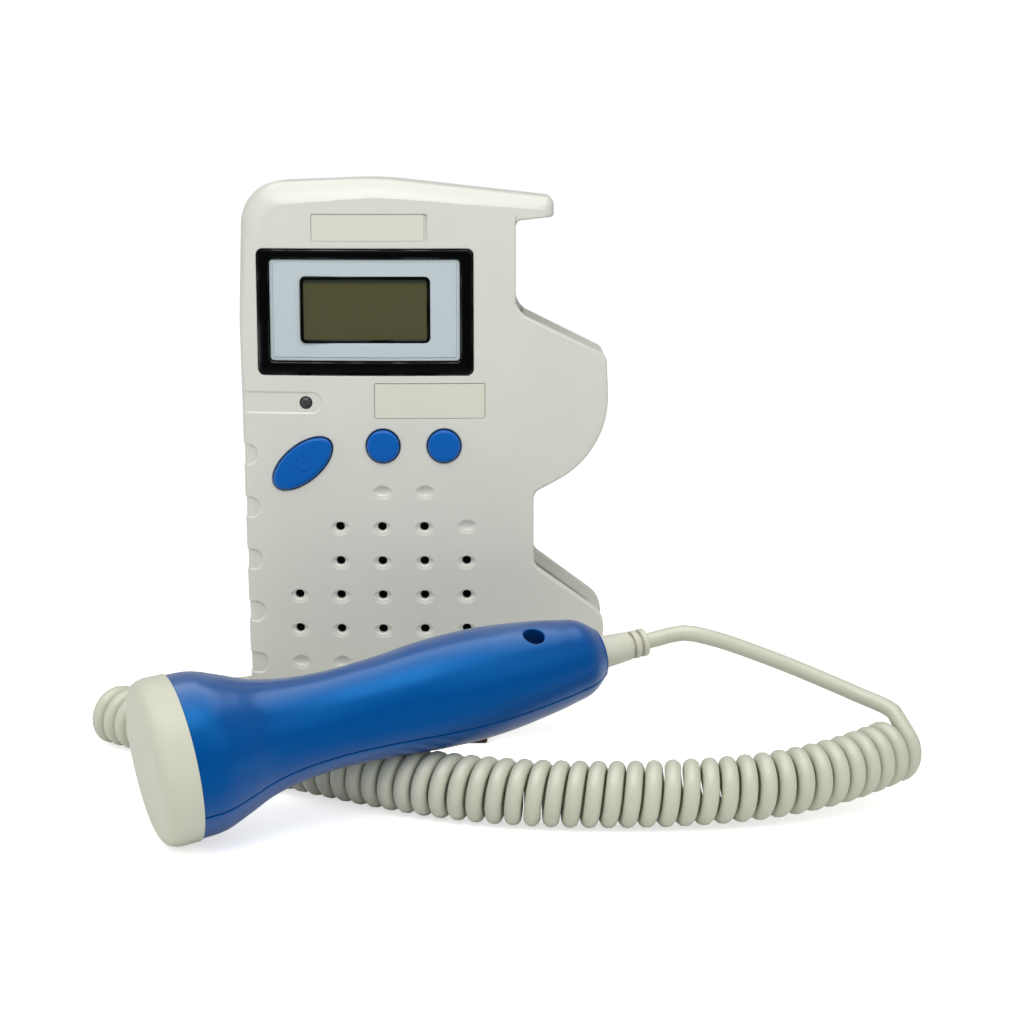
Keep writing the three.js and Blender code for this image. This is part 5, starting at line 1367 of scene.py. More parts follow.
class DOPPLER_OT_rear_case(bpy.types.Operator):
    """Moulds the rear half of the case with the battery bay, the dock's lip and the screw wells"""

    bl_idname = "doppler.rear_case"
    bl_label = "Rear Case"

    def execute(self, context):
        points, outward, _ = case_outline()
        edge = ring_edge(points, outward, BACK_EDGE)
        seam = SEAM_DEPTH + REST_GAP / 2
        wall = CASE_DEPTH - BACK_WALL
        lip_loop = points - outward * LOBE_LIP
        lip_line = lip_loop[(lip_loop[:, 0] > NECK_X) & (lip_loop[:, 1] < DOCK_TOP_Z - LIP_CLEARANCE)]
        neck_end = NECK_X + NECK_LIP
        recess = within(DOOR_LOW[0] - DOOR_GAP, DOOR_HIGH[0] + DOOR_GAP, DOOR_LOW[1] - DOOR_GAP,
                        DOOR_HIGH[1] + DOOR_GAP, 1.3)
        ledge = within(DOOR_LOW[0] - LEDGE_MARGIN, DOOR_HIGH[0] + LEDGE_MARGIN, DOOR_LOW[1] - LEDGE_MARGIN,
                       DOOR_HIGH[1] + LEDGE_MARGIN)
        bay = within(BAY_X - BAY_HALF, BAY_X + BAY_HALF, BAY_BOTTOM, BAY_TOP, 1.0)
        bay_wall = within(BAY_X - BAY_HALF - BAY_WALL, BAY_X + BAY_HALF + BAY_WALL, BAY_BOTTOM - BAY_WALL,
                          BAY_TOP + BAY_WALL, 2.0)
        latch = within(BAY_X - LATCH_WIDTH / 2 - DOOR_GAP, BAY_X + LATCH_WIDTH / 2 + DOOR_GAP,
                       BAY_TOP - LATCH_DIP, DOOR_HIGH[1] + DOOR_GAP - LATCH_SHORT)
        latch_pad = within(BAY_X - LATCH_WIDTH / 2 - LEDGE_MARGIN, BAY_X + LATCH_WIDTH / 2 + LEDGE_MARGIN,
                           BAY_TOP - LATCH_DIP, DOOR_HIGH[1] + LATCH_PAD[0])
        tab_slots = tab_windows(TAB_SLOT[0], BAY_BOTTOM - BAY_WALL)
        tab_holes = tab_windows(DOOR_LOW[1] - TAB_HOLE_DROP, BAY_BOTTOM - BAY_WALL)
        tab_steps = tab_windows(BAY_BOTTOM - BAY_WALL, BAY_BOTTOM)
        wells, bosses, bores = (screw_discs(radius) for radius in (SCREW_WELL, BOSS_RADIUS, SCREW_BORE))
        cavity = cavity_loop()
        rims = [Opening(well, 0.3) for well in wells]
        outer = [
            (everywhere, relief_surface(level_base(CASE_DEPTH), 1, rims, edge)),
            (shape_test(recess), flat_surface(DOOR_INNER - REST_GAP, 1)),
            (shape_test(bay), flat_surface(BAY_FRONT, 1)),
            *[(shape_test(step), flat_surface(TAB_STEP, 1)) for step in tab_steps],
            (shape_test(latch), flat_surface(DOOR_INNER - LATCH_SEAT, 1)),
            *[(shape_test(well), flat_surface(CASE_DEPTH - SCREW_SEAT, 1)) for well in wells],
        ]
        inner = [
            (everywhere, flat_surface(seam, -1)),
            (in_cord_slot, cord_slot_surface(1)),
            (lambda p: inside(p, cavity), flat_surface(wall, -1)),
            (shape_test(ledge), flat_surface(LEDGE_FRONT, -1)),
            (shape_test(latch_pad), flat_surface(LATCH_PAD[1], -1)),
            *[(shape_test(slot), flat_surface(TAB_SLOT[1], -1)) for slot in tab_slots],
            (shape_test(bay_wall), flat_surface(BAY_FRONT - BAY_WALL, -1)),
            *[(shape_test(boss), flat_surface(seam, -1)) for boss in bosses],
            (in_dock, flat_surface(CASE_DEPTH - BACK_LOBE_WALL, -1)),
            (lambda p: (p[:, 0] > neck_end) & (p[:, 1] < CORNER_LIP_TOP) & ~inside(p, lip_loop),
             flat_surface(CASE_DEPTH - BACK_LOBE_WALL - LOBE_LIP, -1)),
        ]
        loops = [cavity, *[shape.loop(0) for shape in (recess, ledge, bay, bay_wall, latch, latch_pad)]]
        loops += [shape.loop(0) for shape in (*tab_slots, *tab_holes, *tab_steps)]
        loops += [shape.loop(0, 32) for shape in (*wells, *bosses)]
        loops += [loop for rim in rims for loop in rim.loops()]
        cutouts = [*[hole.loop(0) for hole in tab_holes], *[bore.loop(0, 24) for bore in bores]]
        lines = [*edge.loops(), *cord_slot_lines(), dock_line(), lip_line,
                 np.array([[neck_end, z] for z in np.linspace(3, CORNER_LIP_TOP, 40)]),
                 np.array([[x, CORNER_LIP_TOP] for x in np.linspace(neck_end, LOBE_END, 20)])]
        skin = Skin()
        two_sided(skin, points, cutouts, loops, lines, outer, inner)
        dress(make_piece("rear_case", skin), "case_white", UNIT, ["rear_shell"])
        return {"FINISHED"}


def prism(profile, low, high):
    """A bar along X with a profile in Y and Z."""
    return skinned([[(x, y, z) for y, z in profile] for x in (low, high)])


class DOPPLER_OT_battery_door(bpy.types.Operator):
    """Makes the battery door with its grip ridges, tabs and latch"""

    bl_idname = "doppler.battery_door"
    bl_label = "Battery Door"

    def execute(self, context):
        panel = within(DOOR_LOW[0], DOOR_HIGH[0], DOOR_LOW[1], DOOR_HIGH[1], 1.0)
        half, lower, upper = DOOR_GRIP
        grip = within(BAY_X - half, BAY_X + half, DOOR_HIGH[1] - lower, DOOR_HIGH[1] - upper, 0.8)
        half_x, half_z = RIDGE_HALF
        ridges = [within(BAY_X - half_x, BAY_X + half_x, z - half_z, z + half_z, 0.45)
                  for z in np.arange(RIDGE_COUNT) * RIDGE_PITCH + DOOR_HIGH[1] - RIDGE_DROP]
        features = [Pocket(grip, *GRIP_POCKET), *[Pocket(ridge, *RIDGE_RISE) for ridge in ridges]]
        edge = box_edge(panel, DOOR_EDGE)
        skin = Skin()
        loops = [loop for feature in features for loop in feature.loops()]
        two_sided(skin, edge.points, [], loops, edge.loops(),
                  [(everywhere, relief_surface(level_base(CASE_DEPTH), 1, features, edge))],
                  [(everywhere, flat_surface(DOOR_INNER, -1))])
        body = "battery_door"
        dress(make_piece("door_panel", skin), "case_white", body, ["battery_door"])
        parts = [prism(TAB_PROFILE, x - TAB_WIDTH / 2, x + TAB_WIDTH / 2) for x in tab_places()]
        parts.append(prism(LATCH_PROFILE, BAY_X - LATCH_WIDTH / 2, BAY_X + LATCH_WIDTH / 2))
        dress(merged_piece("door_hooks", parts), "case_white", body)
        return {"FINISHED"}


def add_screw(skin, x, z, seat, end, radius, shank):
    """A screw along Y whose head faces +Y, with a cross slot."""
    edge = oval_edge(disc(x, z, radius), SCREW_EDGE, 48)
    top = seat + SCREW_HEAD[1]
    slim, reach = SLOT[0], radius * SLOT[1]
    arms = [within(x - a, x + a, z - b, z + b, 0.1) for a, b in ((slim, reach), (reach, slim))]
    stem = disc(x, z, shank)
    two_sided(skin, edge.points, [], [arms[0].loop(0, 3), arms[1].loop(0, 3), stem.loop(0, 24)], edge.loops(),
              [(everywhere, relief_surface(level_base(top), 1, (), edge)),
               *[(shape_test(arm), flat_surface(top - SLOT[2], 1)) for arm in arms]],
              [(everywhere, flat_surface(seat, -1)), (shape_test(stem), flat_surface(end, -1))], 1.2)


class DOPPLER_OT_fixings(bpy.types.Operator):
    """Puts in the case screws and the feet"""

    bl_idname = "doppler.fixings"
    bl_label = "Screws and Feet"

    def execute(self, context):
        for number, (x, z) in enumerate(SCREWS, 1):
            skin = Skin()
            add_screw(skin, x, z, CASE_DEPTH - SCREW_SEAT + REST_GAP, SCREW_TIP, SCREW_HEAD[0], SCREW_SHANK)
            dress(make_piece(f"screw_{number}", skin), "screw", UNIT, [f"case_screw_{number}"])
            low, high = (np.array(corner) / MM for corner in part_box(f"foot_{number}"))
            shift = np.array([panel_shift, depth_shift, 0])
            high[2] = FOOT_STAND - FOOT_GAP
            foot = rounded_block(low - shift, high - shift, FOOT_ROUNDING)
            dress(merged_piece(f"rubber_foot_{number}", [foot]), "foot", UNIT, [f"foot_{number}"])
        return {"FINISHED"}


def framed(name, slot, box, window, rise, back, edge_settings, window_rounding, replaced, relief=()):
    """A frame or plate that follows the curved face, with or without a window and relief."""
    edge = box_edge(box, edge_settings)
    features = [*([Opening(window, window_rounding)] if window else []), *relief]
    loops = [loop for feature in features for loop in feature.loops()]
    base = (lambda x: face_depth(x) + rise)
    skin = Skin()
    two_sided(skin, edge.points, [f.cutout for f in features if f.cutout is not None], loops, edge.loops(),
              [(everywhere, relief_surface(base, -1, features, edge))],
              [(everywhere, flat_surface(back, 1, face_depth))])
    dress(make_piece(name, skin), slot, UNIT, replaced)


class DOPPLER_OT_display(bpy.types.Operator):
    """Builds the display: glossy rim, mask, holder and glass"""

    bl_idname = "doppler.display"
    bl_label = "Display"

    def execute(self, context):
        framed("rim", "rim_black", rim_box(), window_box(), -RIM_RISE, DISPLAY_BACK, RIM_EDGE,
               WINDOW_ROUNDING, ["display_rim"])
        x = DISPLAY_X + LCD_SHIFT
        opening_corner, holder_corner, glass_corner = HOLDER_CORNERS
        opening = RoundedBox(x, LCD_Z, LCD_SIZE[0] + 2 * HOLDER_GAP, LCD_SIZE[1] + 2 * HOLDER_GAP,
                             opening_corner)
        inset, rise = MASK_STEP
        panel = Pocket(window_box(MASK_GAP + inset), -rise, MASK_STEP_EDGE)
        framed("mask", "mask", window_box(MASK_GAP), opening, MASK_SINK, DISPLAY_BACK, MASK_EDGE,
               MASK_EDGE[1], ["display_mask"], [panel])
        outline = RoundedBox(x, LCD_Z, *LCD_SIZE, holder_corner)
        glass = RoundedBox(x, LCD_Z, LCD_SIZE[0] - 2 * LCD_BORDER, LCD_SIZE[1] - 2 * LCD_BORDER, glass_corner)
        edge = box_edge(outline, HOLDER_EDGE)
        bezel = Opening(glass, HOLDER_EDGE[0])
        skin = Skin()
        two_sided(skin, edge.points, [bezel.cutout], bezel.loops(), edge.loops(),
                  [(everywhere, relief_surface(level_base(HOLDER_FRONT), -1, [bezel], edge))],
                  [(everywhere, flat_surface(BOARD_FRONT - REST_GAP, 1))])
        dress(make_piece("holder", skin), "rim_black", UNIT, ["display_holder"])
        half = glass.half - GLASS_GAP
        front, back = (HOLDER_FRONT + depth for depth in GLASS_DEPTH)
        block = rounded_block((x - half[0], front, glass.centre[1] - half[1]),
                              (x + half[0], back, glass.centre[1] + half[1]), 0.15)
        dress(merged_piece("glass", [block]), "lcd", UNIT, ["lcd_glass"])
        return {"FINISHED"}


class DOPPLER_OT_plates(bpy.types.Operator):
    """Lays the two bare plates and sets the lamp in its recess"""

    bl_idname = "doppler.plates"
    bl_label = "Plates and Lamp"

    def execute(self, context):
        for name, box, sink in (("title", title_box(), PLATE_SINK), ("blank", blank_box(), PLATE_SINK / 2)):
            framed(f"{name}_face", "plate", box, None, sink, PLATE_BACK, PLATE_EDGE, 0, [f"{name}_plate"])
        front, back = float(face_depth(LAMP_X)) - LAMP_RISE, BOARD_FRONT - REST_GAP
        dome = [(front + LAMP_DOME * (1 - math.cos(turn)), LAMP_RADIUS * math.sin(turn))
                for turn in np.linspace(0, math.pi / 2, 12)]
        lamp = turned([*dome, (back, LAMP_RADIUS), (back, 0)], "y", (LAMP_X, 0, LAMP_Z), 40)
        dress(merged_piece("lamp_dome", [lamp]), "lamp", UNIT, ["power_lamp"])
        return {"FINISHED"}


def add_button(name, shape, marks, body, edge_settings):
    """A push button: its face, the flange behind the case wall and its stem."""
    x, z = shape.centre
    flange_front = float(face_depth(abs(x) + shape.half[0] + FLANGE)) + FACE_WALL + REST_GAP
    edge = oval_edge(shape, edge_settings)
    stem = disc(x, z, STEM_RADIUS)
    features = [Pocket(Stroke(line, width), sink, 0.07) for line, width, sink in marks]
    loops = [shape.loop(0, 72), stem.loop(0, 24), *[loop for mark in features for loop in mark.loops()]]
    face = relief_surface(lambda p: face_depth(p) - BUTTON_RISE, -1, features, edge)
    skin = Skin()
    two_sided(skin, shape.loop(FLANGE, 72), [], loops, edge.loops(),
              [(everywhere, flat_surface(flange_front, -1)), (shape_test(shape), face)],
              [(everywhere, flat_surface(flange_front + FLANGE, 1)),
               (shape_test(stem), flat_surface(STEM_END, 1))], 2.0)
    dress(make_piece(name, skin), "button_blue", body, [body])


class DOPPLER_OT_buttons(bpy.types.Operator):
    """Fits the oval power button and the two round buttons"""

    bl_idname = "doppler.buttons"
    bl_label = "Buttons"

    def execute(self, context):
        mark_x = POWER_X + POWER_MARK_SHIFT
        bar = np.array([[mark_x, POWER_Z + 0.5], [mark_x, POWER_Z + 1.5], [mark_x, POWER_Z + 2.5]])
        ring = arc(mark_x, POWER_Z - 0.2, POWER_MARK_RADIUS, 128, 412, 26)
        power = [(ring, *POWER_MARK), (bar, *POWER_MARK)]
        left = [(arc(LEFT_BUTTON_X - 0.1, BUTTON_Z - 2.9, 2.2, 45, 135, 12), *LEFT_MARK)]
        right = [(arc(RIGHT_BUTTON_X, BUTTON_Z + 0.6, 2.3, 220, 320, 12), *RIGHT_MARK)]
        power_key = Oval(POWER_X, POWER_Z, *POWER_HALF, POWER_TILT)
        left_key, right_key = (disc(x, BUTTON_Z, BUTTON_RADIUS) for x in (LEFT_BUTTON_X, RIGHT_BUTTON_X))
        add_button("power_key", power_key, power, "power_button", POWER_KEY_EDGE)
        add_button("left_key", left_key, left, "left_button", ROUND_KEY_EDGE)
        add_button("right_key", right_key, right, "right_button", ROUND_KEY_EDGE)
        return {"FINISHED"}


# The probe, in its own frame: X along its length from the face, Z up from its seam


def handle_radius(along):
    """The handle's radius, a smooth curve through its stations."""
    knots = np.array([(SHELL_START + share * (PROBE_LENGTH - SHELL_START), radius * HEAD_RADIUS)
                      for share, radius in HANDLE])
    places, radii = knots.T
    slopes = np.gradient(radii, places)
    along = np.clip(along, places[0], places[-1])
    index = np.clip(np.searchsorted(places, along, "right") - 1, 0, len(places) - 2)
    reach = places[index + 1] - places[index]
    t = (along - places[index]) / reach
    return ((2 * t ** 3 - 3 * t ** 2 + 1) * radii[index] + (t ** 3 - 2 * t ** 2 + t) * reach * slopes[index]
            + (3 * t ** 2 - 2 * t ** 3) * radii[index + 1] + (t ** 3 - t ** 2) * reach * slopes[index + 1])


def seam_angle(along):
    return REST_GAP / 2 / handle_radius(along)


def probe_flat(along, aside):
    """The flat drawing's place of a point that is aside of the seam's middle."""
    angle = np.arccos(np.clip(aside / handle_radius(along), -1, 1))
    clear = seam_angle(along)
    return np.stack([along, FLAT_TURN * math.pi * (angle - clear) / (math.pi - 2 * clear)], axis=-1)


def probe_angle(points):
    clear = seam_angle(points[:, 0])
    return clear + (math.pi - 2 * clear) * points[:, 1] / (FLAT_TURN * math.pi)


def soft_step(distance, rounding):
    share = np.clip(distance / rounding, 0, 1)
    return rounding * (1 - np.sqrt(np.maximum(1 - (1 - share) ** 2, 0)))


def well_distance(points):
    aside = handle_radius(points[:, 0]) * np.cos(probe_angle(points))
    return np.hypot(points[:, 0] - PROBE_SCREW_X, aside)


def probe_surface(side, inset, well):
    """The handle's skin on one side of the seam, at an inset from its outside."""

    def spots(points):
        along, angle = points[:, 0], probe_angle(points)
        radius = handle_radius(along) - inset
        if not inset:
            beside = np.minimum(points[:, 1], FLAT_TURN * math.pi - points[:, 1]) * radius / FLAT_TURN
            radius = radius - soft_step(beside, SEAM_ROUNDING) - soft_step(along - SHELL_START, RIM_ROUNDING)
            if well:
                radius = radius - soft_step(np.maximum(well_distance(points) - SCREW_WELL, 0), WELL_ROUNDING)
        return np.stack([along, radius * np.cos(angle), side * radius * np.sin(angle)], axis=1), radius

    def surface(points):
        here, radius = spots(points)
        step = 0.02
        along = spots(points + (step, 0))[0] - spots(points - (step, 0))[0]
        around = spots(points + (0, step))[0] - spots(points - (0, step))[0]
        normals = np.cross(along, around)
        normals /= np.maximum(np.linalg.norm(normals, axis=1), 1e-12)[:, None]
        away = np.stack([here[:, 0] * 0, here[:, 1], here[:, 2]], axis=1) * (-1 if inset else 1)
        normals[np.einsum("pk,pk->p", normals, away) < 0] *= -1
        return here, normals, radius

    return surface


def level_surface(side, height, facing):
    """A flat place at a height from the seam, straight above or below the handle's outside."""

    def surface(points):
        aside = handle_radius(points[:, 0]) * np.cos(probe_angle(points))
        spots = np.stack([points[:, 0], aside, np.full(len(points), side * height)], axis=1)
        normals = np.tile([0.0, 0.0, float(facing)], (len(points), 1))
        return spots, normals, np.full(len(points), height)

    return surface


def bore_surface(side, radius):
    """The hole in the handle's end that the cord's grip passes through."""

    def surface(points):
        angle = probe_angle(points)
        ways = np.stack([angle * 0, np.cos(angle), side * np.sin(angle)], axis=1)
        spots = ways * radius + np.stack([points[:, 0], angle * 0, angle * 0], axis=1)
        return spots, -ways, np.full(len(points), radius)

    return surface


def well_loop(radius, sides=36):
    angle = np.linspace(0, 2 * math.pi, sides, endpoint=False)
    return probe_flat(PROBE_SCREW_X + radius * np.cos(angle), radius * np.sin(angle))


def near_well(radius):
    return lambda points: well_distance(points) < radius


def in_probe_end(points):
    return points[:, 0] > PROBE_LENGTH - SHELL_WALL


class DOPPLER_OT_probe(bpy.types.Operator):
    """Builds the probe's handle shells, its cap and its screw"""

    bl_idname = "doppler.probe"
    bl_label = "Probe"

    def execute(self, context):
        matrix = probe_matrix()
        top = FLAT_TURN * math.pi
        near_cap = SHELL_START + np.array([0.04, 0.15, 0.3, 0.5])
        further = np.arange(SHELL_START + 1.5, PROBE_LENGTH - 1, 1.8)
        alongs = np.concatenate([near_cap, further, [PROBE_LENGTH - SHELL_WALL]])
        grid = [np.array([[s, u] for u in np.linspace(-1, top + 1, 34)]) for s in alongs]
        stations = np.linspace(SHELL_START - 1, PROBE_LENGTH + 1, 60)
        grid += [np.array([[s, u] for s in stations]) for u in np.linspace(0, top, 31)[1:-1]]
        for beside in (0.03, 0.1, 0.2, 0.35):
            run = np.stack([stations, beside * FLAT_TURN / handle_radius(stations)], axis=1)
            grid += [run, np.stack([stations, top - run[:, 1]], axis=1)]
        corners = [[SHELL_START, 0], [PROBE_LENGTH, 0], [PROBE_LENGTH, top], [SHELL_START, top]]
        boundary = filled(np.array(corners), 1.5)
        for name, side, node in (("upper", 1, "probe_upper_shell"), ("lower", -1, "probe_lower_shell")):
            well = side > 0
            outer = [(everywhere, probe_surface(side, 0, well))]
            inner = [(everywhere, probe_surface(side, SHELL_WALL, False)),
                     (in_probe_end, bore_surface(side, GRIP_BORE)),
                     (near_well(PROBE_BOSS_RADIUS), level_surface(side, REST_GAP / 2, -side))]
            loops, cutouts = [well_loop(PROBE_BOSS_RADIUS)], []
            if well:
                outer.append((near_well(SCREW_WELL), level_surface(side, PROBE_SCREW_SEAT, side)))
                loops += [well_loop(SCREW_WELL + extra) for extra in (0, 0.04, 0.12, WELL_ROUNDING)]
                cutouts = [well_loop(PROBE_BORE_RADIUS, 24)]
            else:
                pilot_radius, pilot_depth = PROBE_PILOT
                inner.append((near_well(pilot_radius), level_surface(side, pilot_depth, -side)))
                loops.append(well_loop(pilot_radius, 24))
            skin = Skin()
            two_sided(skin, boundary, cutouts, loops, grid, outer, inner, 60)
            dress(make_piece(f"{name}_handle", skin, matrix), "blue_plastic", UNIT, [node])
        self.cap(matrix)
        skin = Skin()
        add_screw(skin, PROBE_SCREW_X, 0, PROBE_SCREW_SEAT + REST_GAP, *PROBE_SCREW)
        upright = matrix @ Matrix.Rotation(math.pi / 2, 4, "X")
        dress(make_piece("handle_screw", skin, upright), "screw", UNIT, ["probe_screw"])
        return {"FINISHED"}

    @staticmethod
    def cap(matrix):
        edge = [(place * CAP_LENGTH, radius * HEAD_RADIUS) for place, radius in CAP_EDGE]
        bore = HEAD_RADIUS * CAP_EDGE[0][1] - CAP_WALL
        outline = [(0.0, 0.0, 0), (0.0, edge[0][1] - 1.6, 3.0), (edge[0][0] + 0.5, edge[0][1] - 0.1, 0.9),
                   (*edge[1], 1.2), (*edge[2], 1.6), (edge[3][0] + 0.25, edge[3][1], 0.2),
                   (edge[3][0] + 0.25, bore, 0.1), (CAP_THICKNESS, bore, 0.3), (CAP_THICKNESS, 0, 0)]
        body = turned(softened(outline, 6), "x", sides=128)
        dress(merged_piece("cap", [body], matrix, 40), "cream_plastic", UNIT, ["probe_cap"])


class DOPPLER_OT_grips(bpy.types.Operator):
    """Turns the ribbed cord grips at the probe and at the hand unit"""

    bl_idname = "doppler.grips"
    bl_label = "Cord Grips"

    def execute(self, context):
        unit = Matrix.Translation((LEFT_X, SEAM_DEPTH, GRIP_HEIGHT)) @ Matrix.Rotation(math.pi, 4, "Z")
        probe = probe_matrix() @ Matrix.Translation((PROBE_LENGTH, 0, 0))
        for name, matrix, wall, node in (
            ("unit_grip", unit, CAVITY_LEFT - LEFT_X, "unit_cord_grip"),
            ("probe_grip", probe, SHELL_WALL, "probe_cord_grip"),
        ):
            dress(merged_piece(name, [turned(softened(self.profile(wall)), "x", sides=64)], matrix, 50),
                  "cream_rubber", UNIT, [node])
        return {"FINISHED"}

    @staticmethod
    def profile(wall):
        """The grip's turned profile, its origin where it leaves the wall."""
        thickness, radius = GRIP_FLANGE
        return [(-wall - thickness, 0, 0), (-wall - thickness, radius, 0.4), (-wall - 0.03, radius, 0.1),
                (-wall - 0.03, GRIP_NECK, 0.05), *GRIP_PROFILE]


class DOPPLER_OT_inside(bpy.types.Operator):
    """Makes the cells and the grille cloth, and finishes the parts inside the case"""

    bl_idname = "doppler.inside"
    bl_label = "Inside Parts"

    def execute(self, context):
        nub_radius, nub = CELL_NUB
        low_z, high_z = BAY_BOTTOM + CELL_RADIUS + REST_GAP, BAY_TOP - CELL_RADIUS - REST_GAP
        for name, z, way in (("lower_cell", low_z, 1), ("upper_cell", high_z, -1)):
            half = (CELL_LENGTH + nub) / 2
            outline = [(-half, 0, 0), (-half, CELL_RADIUS, 0.8), (half - nub, CELL_RADIUS, 0.9),
                       (half - nub, nub_radius, 0.2), (half, nub_radius, 0.4), (half, 0, 0)]
            profile = [(way * x, radius) for x, radius in softened(outline)]
            cell = turned(profile, "x", (BAY_X, CELL_Y, z), 64)
            dress(merged_piece(f"{name}_body", [cell]), "cell", UNIT, [name])
        # A black cloth behind all the grille holes: partly the speaker's real cloth, partly a sheet of
        # painted shade.
        sheet = within(GRILLE_X - CLOTH_HALF, GRILLE_X + CLOTH_HALF, GRILLE_Z - CLOTH_SPAN[0],
                       GRILLE_Z + CLOTH_SPAN[1], 1.0)
        edge = box_edge(sheet, (0.05, 0.05, 90))
        skin = Skin()
        two_sided(skin, edge.points, [], [], edge.loops(),
                  [(everywhere, flat_surface(FACE_WALL + CLOTH_DEPTH[0], -1, face_depth))],
                  [(everywhere, flat_surface(FACE_WALL + CLOTH_DEPTH[1], 1, face_depth))])
        dress(make_piece("grille_cloth", skin), "cloth", UNIT, ["speaker_cloth"])
        for slot, nodes in CARRIED_OVER.items():
            for node in nodes:
                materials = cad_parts[node].data.materials
                materials.clear()
                materials.append(material_of(slot))
        return {"FINISHED"}


CARRIED_OVER = {
    "board": ["main_board", "probe_board"],
    "dark_plastic": ["left_switch", "right_switch", "power_switch"],
    "frame_metal": ["speaker_frame"],
    "paper": ["speaker_cone"],
    "magnet": ["speaker_magnet"],
    "contact": ["left_contact", "right_contact"],
    "transducer": ["transducer_disc"],
    "backing": ["acoustic_backing"],
}


class DopplerColours(bpy.types.PropertyGroup):
    """Colours of the moulded parts."""

    case: bpy.props.FloatVectorProperty(
        name="Case", description="Plastic of the hand unit", subtype="COLOR", size=3, min=0, max=1,
        default=linear(212, 213, 203),
    )
    probe: bpy.props.FloatVectorProperty(
        name="Probe", description="Plastic of the probe's handle", subtype="COLOR", size=3, min=0, max=1,
        default=linear(0, 70, 140),
    )
    button: bpy.props.FloatVectorProperty(
        name="Buttons", description="Plastic of the push buttons", subtype="COLOR", size=3, min=0, max=1,
        default=linear(0, 92, 176),
    )
    cap: bpy.props.FloatVectorProperty(
        name="Probe cap", description="Plastic of the probe's face", subtype="COLOR", size=3, min=0, max=1,
        default=linear(206, 208, 190),
    )
    cord: bpy.props.FloatVectorProperty(
        name="Cord", description="Sheath of the cord", subtype="COLOR", size=3, min=0, max=1,
        default=linear(200, 202, 183),
    )


class DopplerSizes(bpy.types.PropertyGroup):
    """Sizes that change only how the monitor looks."""

    cord_diameter: bpy.props.FloatProperty(
        name="Cord", description="Diameter of the cord", unit="LENGTH", subtype="DISTANCE", default=0.0045,
        min=0.003, max=0.006,
    )


class DopplerStage(bpy.types.PropertyGroup):
    """Camera and light."""

    focal_length: bpy.props.FloatProperty(
        name="Focal length", description="Camera lens", subtype="DISTANCE_CAMERA", default=72.32,
        min=20, max=200,
    )
    fill: bpy.props.FloatProperty(
        name="Fill light", description="Strength of the light from all round", default=0.5, min=0, max=2,
    )
    key_power: bpy.props.FloatProperty(
        name="Key light", description="Power of the overhead light", unit="POWER", default=1.7, min=0, max=50,
    )


class DOPPLER_OT_stage(bpy.types.Operator):
    """Sets up the camera, the lights and the floor"""

    bl_idname = "doppler.stage"
    bl_label = "Camera and Lights"

    def execute(self, context):
        settings = context.scene.doppler_stage
        scene = context.scene
        scene.view_settings.view_transform = "Standard"
        camera = bpy.data.objects.new("Camera", bpy.data.cameras.new("Camera"))
        camera.data.lens = settings.focal_length
        camera.data.sensor_width = 36
        camera.data.clip_end = 20
        camera.location = place(CAMERA_PLACE)
        camera.rotation_euler = (math.radians(CAMERA_PITCH), 0, 0)
        scene.collection.objects.link(camera)
        scene.camera = camera

        world = bpy.data.worlds.new("Studio")
        world.use_nodes = True
        tree = world.node_tree
        tree.nodes.clear()
        output = tree.nodes.new("ShaderNodeOutputWorld")
        lit, seen = tree.nodes.new("ShaderNodeBackground"), tree.nodes.new("ShaderNodeBackground")
        put(lit, Strength=settings.fill, Color=(1, 1, 1, 1))
        put(seen, Strength=1, Color=(1, 1, 1, 1))
        path = tree.nodes.new("ShaderNodeLightPath")
        mix = tree.nodes.new("ShaderNodeMixShader")
        tree.links.new(path.outputs["Is Camera Ray"], mix.inputs["Fac"])
        tree.links.new(lit.outputs[0], mix.inputs[1])
        tree.links.new(seen.outputs[0], mix.inputs[2])
        tree.links.new(mix.outputs[0], output.inputs["Surface"])
        scene.world = world

        lamps = {name: self.lamp(name, where, towards, size, settings.key_power * share)
                 for name, (where, towards, size, share) in LIGHTS.items()}
        lamps["Panel"].visible_diffuse = False  # it shows in the gloss and adds no light
        self.floor()
        return {"FINISHED"}

    @staticmethod
    def lamp(name, where, towards, size, power):
        light = bpy.data.lights.new(name, "AREA")
        light.shape = "DISK"
        light.size = size
        light.energy = power
        lamp = bpy.data.objects.new(name, light)
        lamp.location = place(where)
        lamp.rotation_euler = (place(towards) - place(where)).to_track_quat("-Z", "Y").to_euler()
        bpy.context.scene.collection.objects.link(lamp)
        return lamp

    @staticmethod
    def floor():
        mesh = bpy.data.meshes.new("Floor")
        corners = [(x * FLOOR_HALF, y * FLOOR_HALF, 0) for x, y in ((-1, -1), (1, -1), (1, 1), (-1, 1))]
        mesh.from_pydata(corners, [], [(0, 1, 2, 3)])
        floor = bpy.data.objects.new("Floor", mesh)
        bpy.context.scene.collection.objects.link(floor)
        material, tree, shader = plain_material("White floor", (0.93, 0.93, 0.93), 0.9)
        glow = tree.nodes.new("ShaderNodeEmission")
        put(glow, Strength=FLOOR_GLOW)
        add = tree.nodes.new("ShaderNodeAddShader")
        path = tree.nodes.new("ShaderNodeLightPath")
        mix = tree.nodes.new("ShaderNodeMixShader")
        output = tree.nodes["Material Output"]
        tree.links.new(shader.outputs[0], add.inputs[0])
        tree.links.new(glow.outputs[0], add.inputs[1])
        tree.links.new(path.outputs["Is Camera Ray"], mix.inputs["Fac"])
        tree.links.new(shader.outputs[0], mix.inputs[1])
        tree.links.new(add.outputs[0], mix.inputs[2])
        tree.links.new(mix.outputs[0], output.inputs["Surface"])
        mesh.materials.append(material)


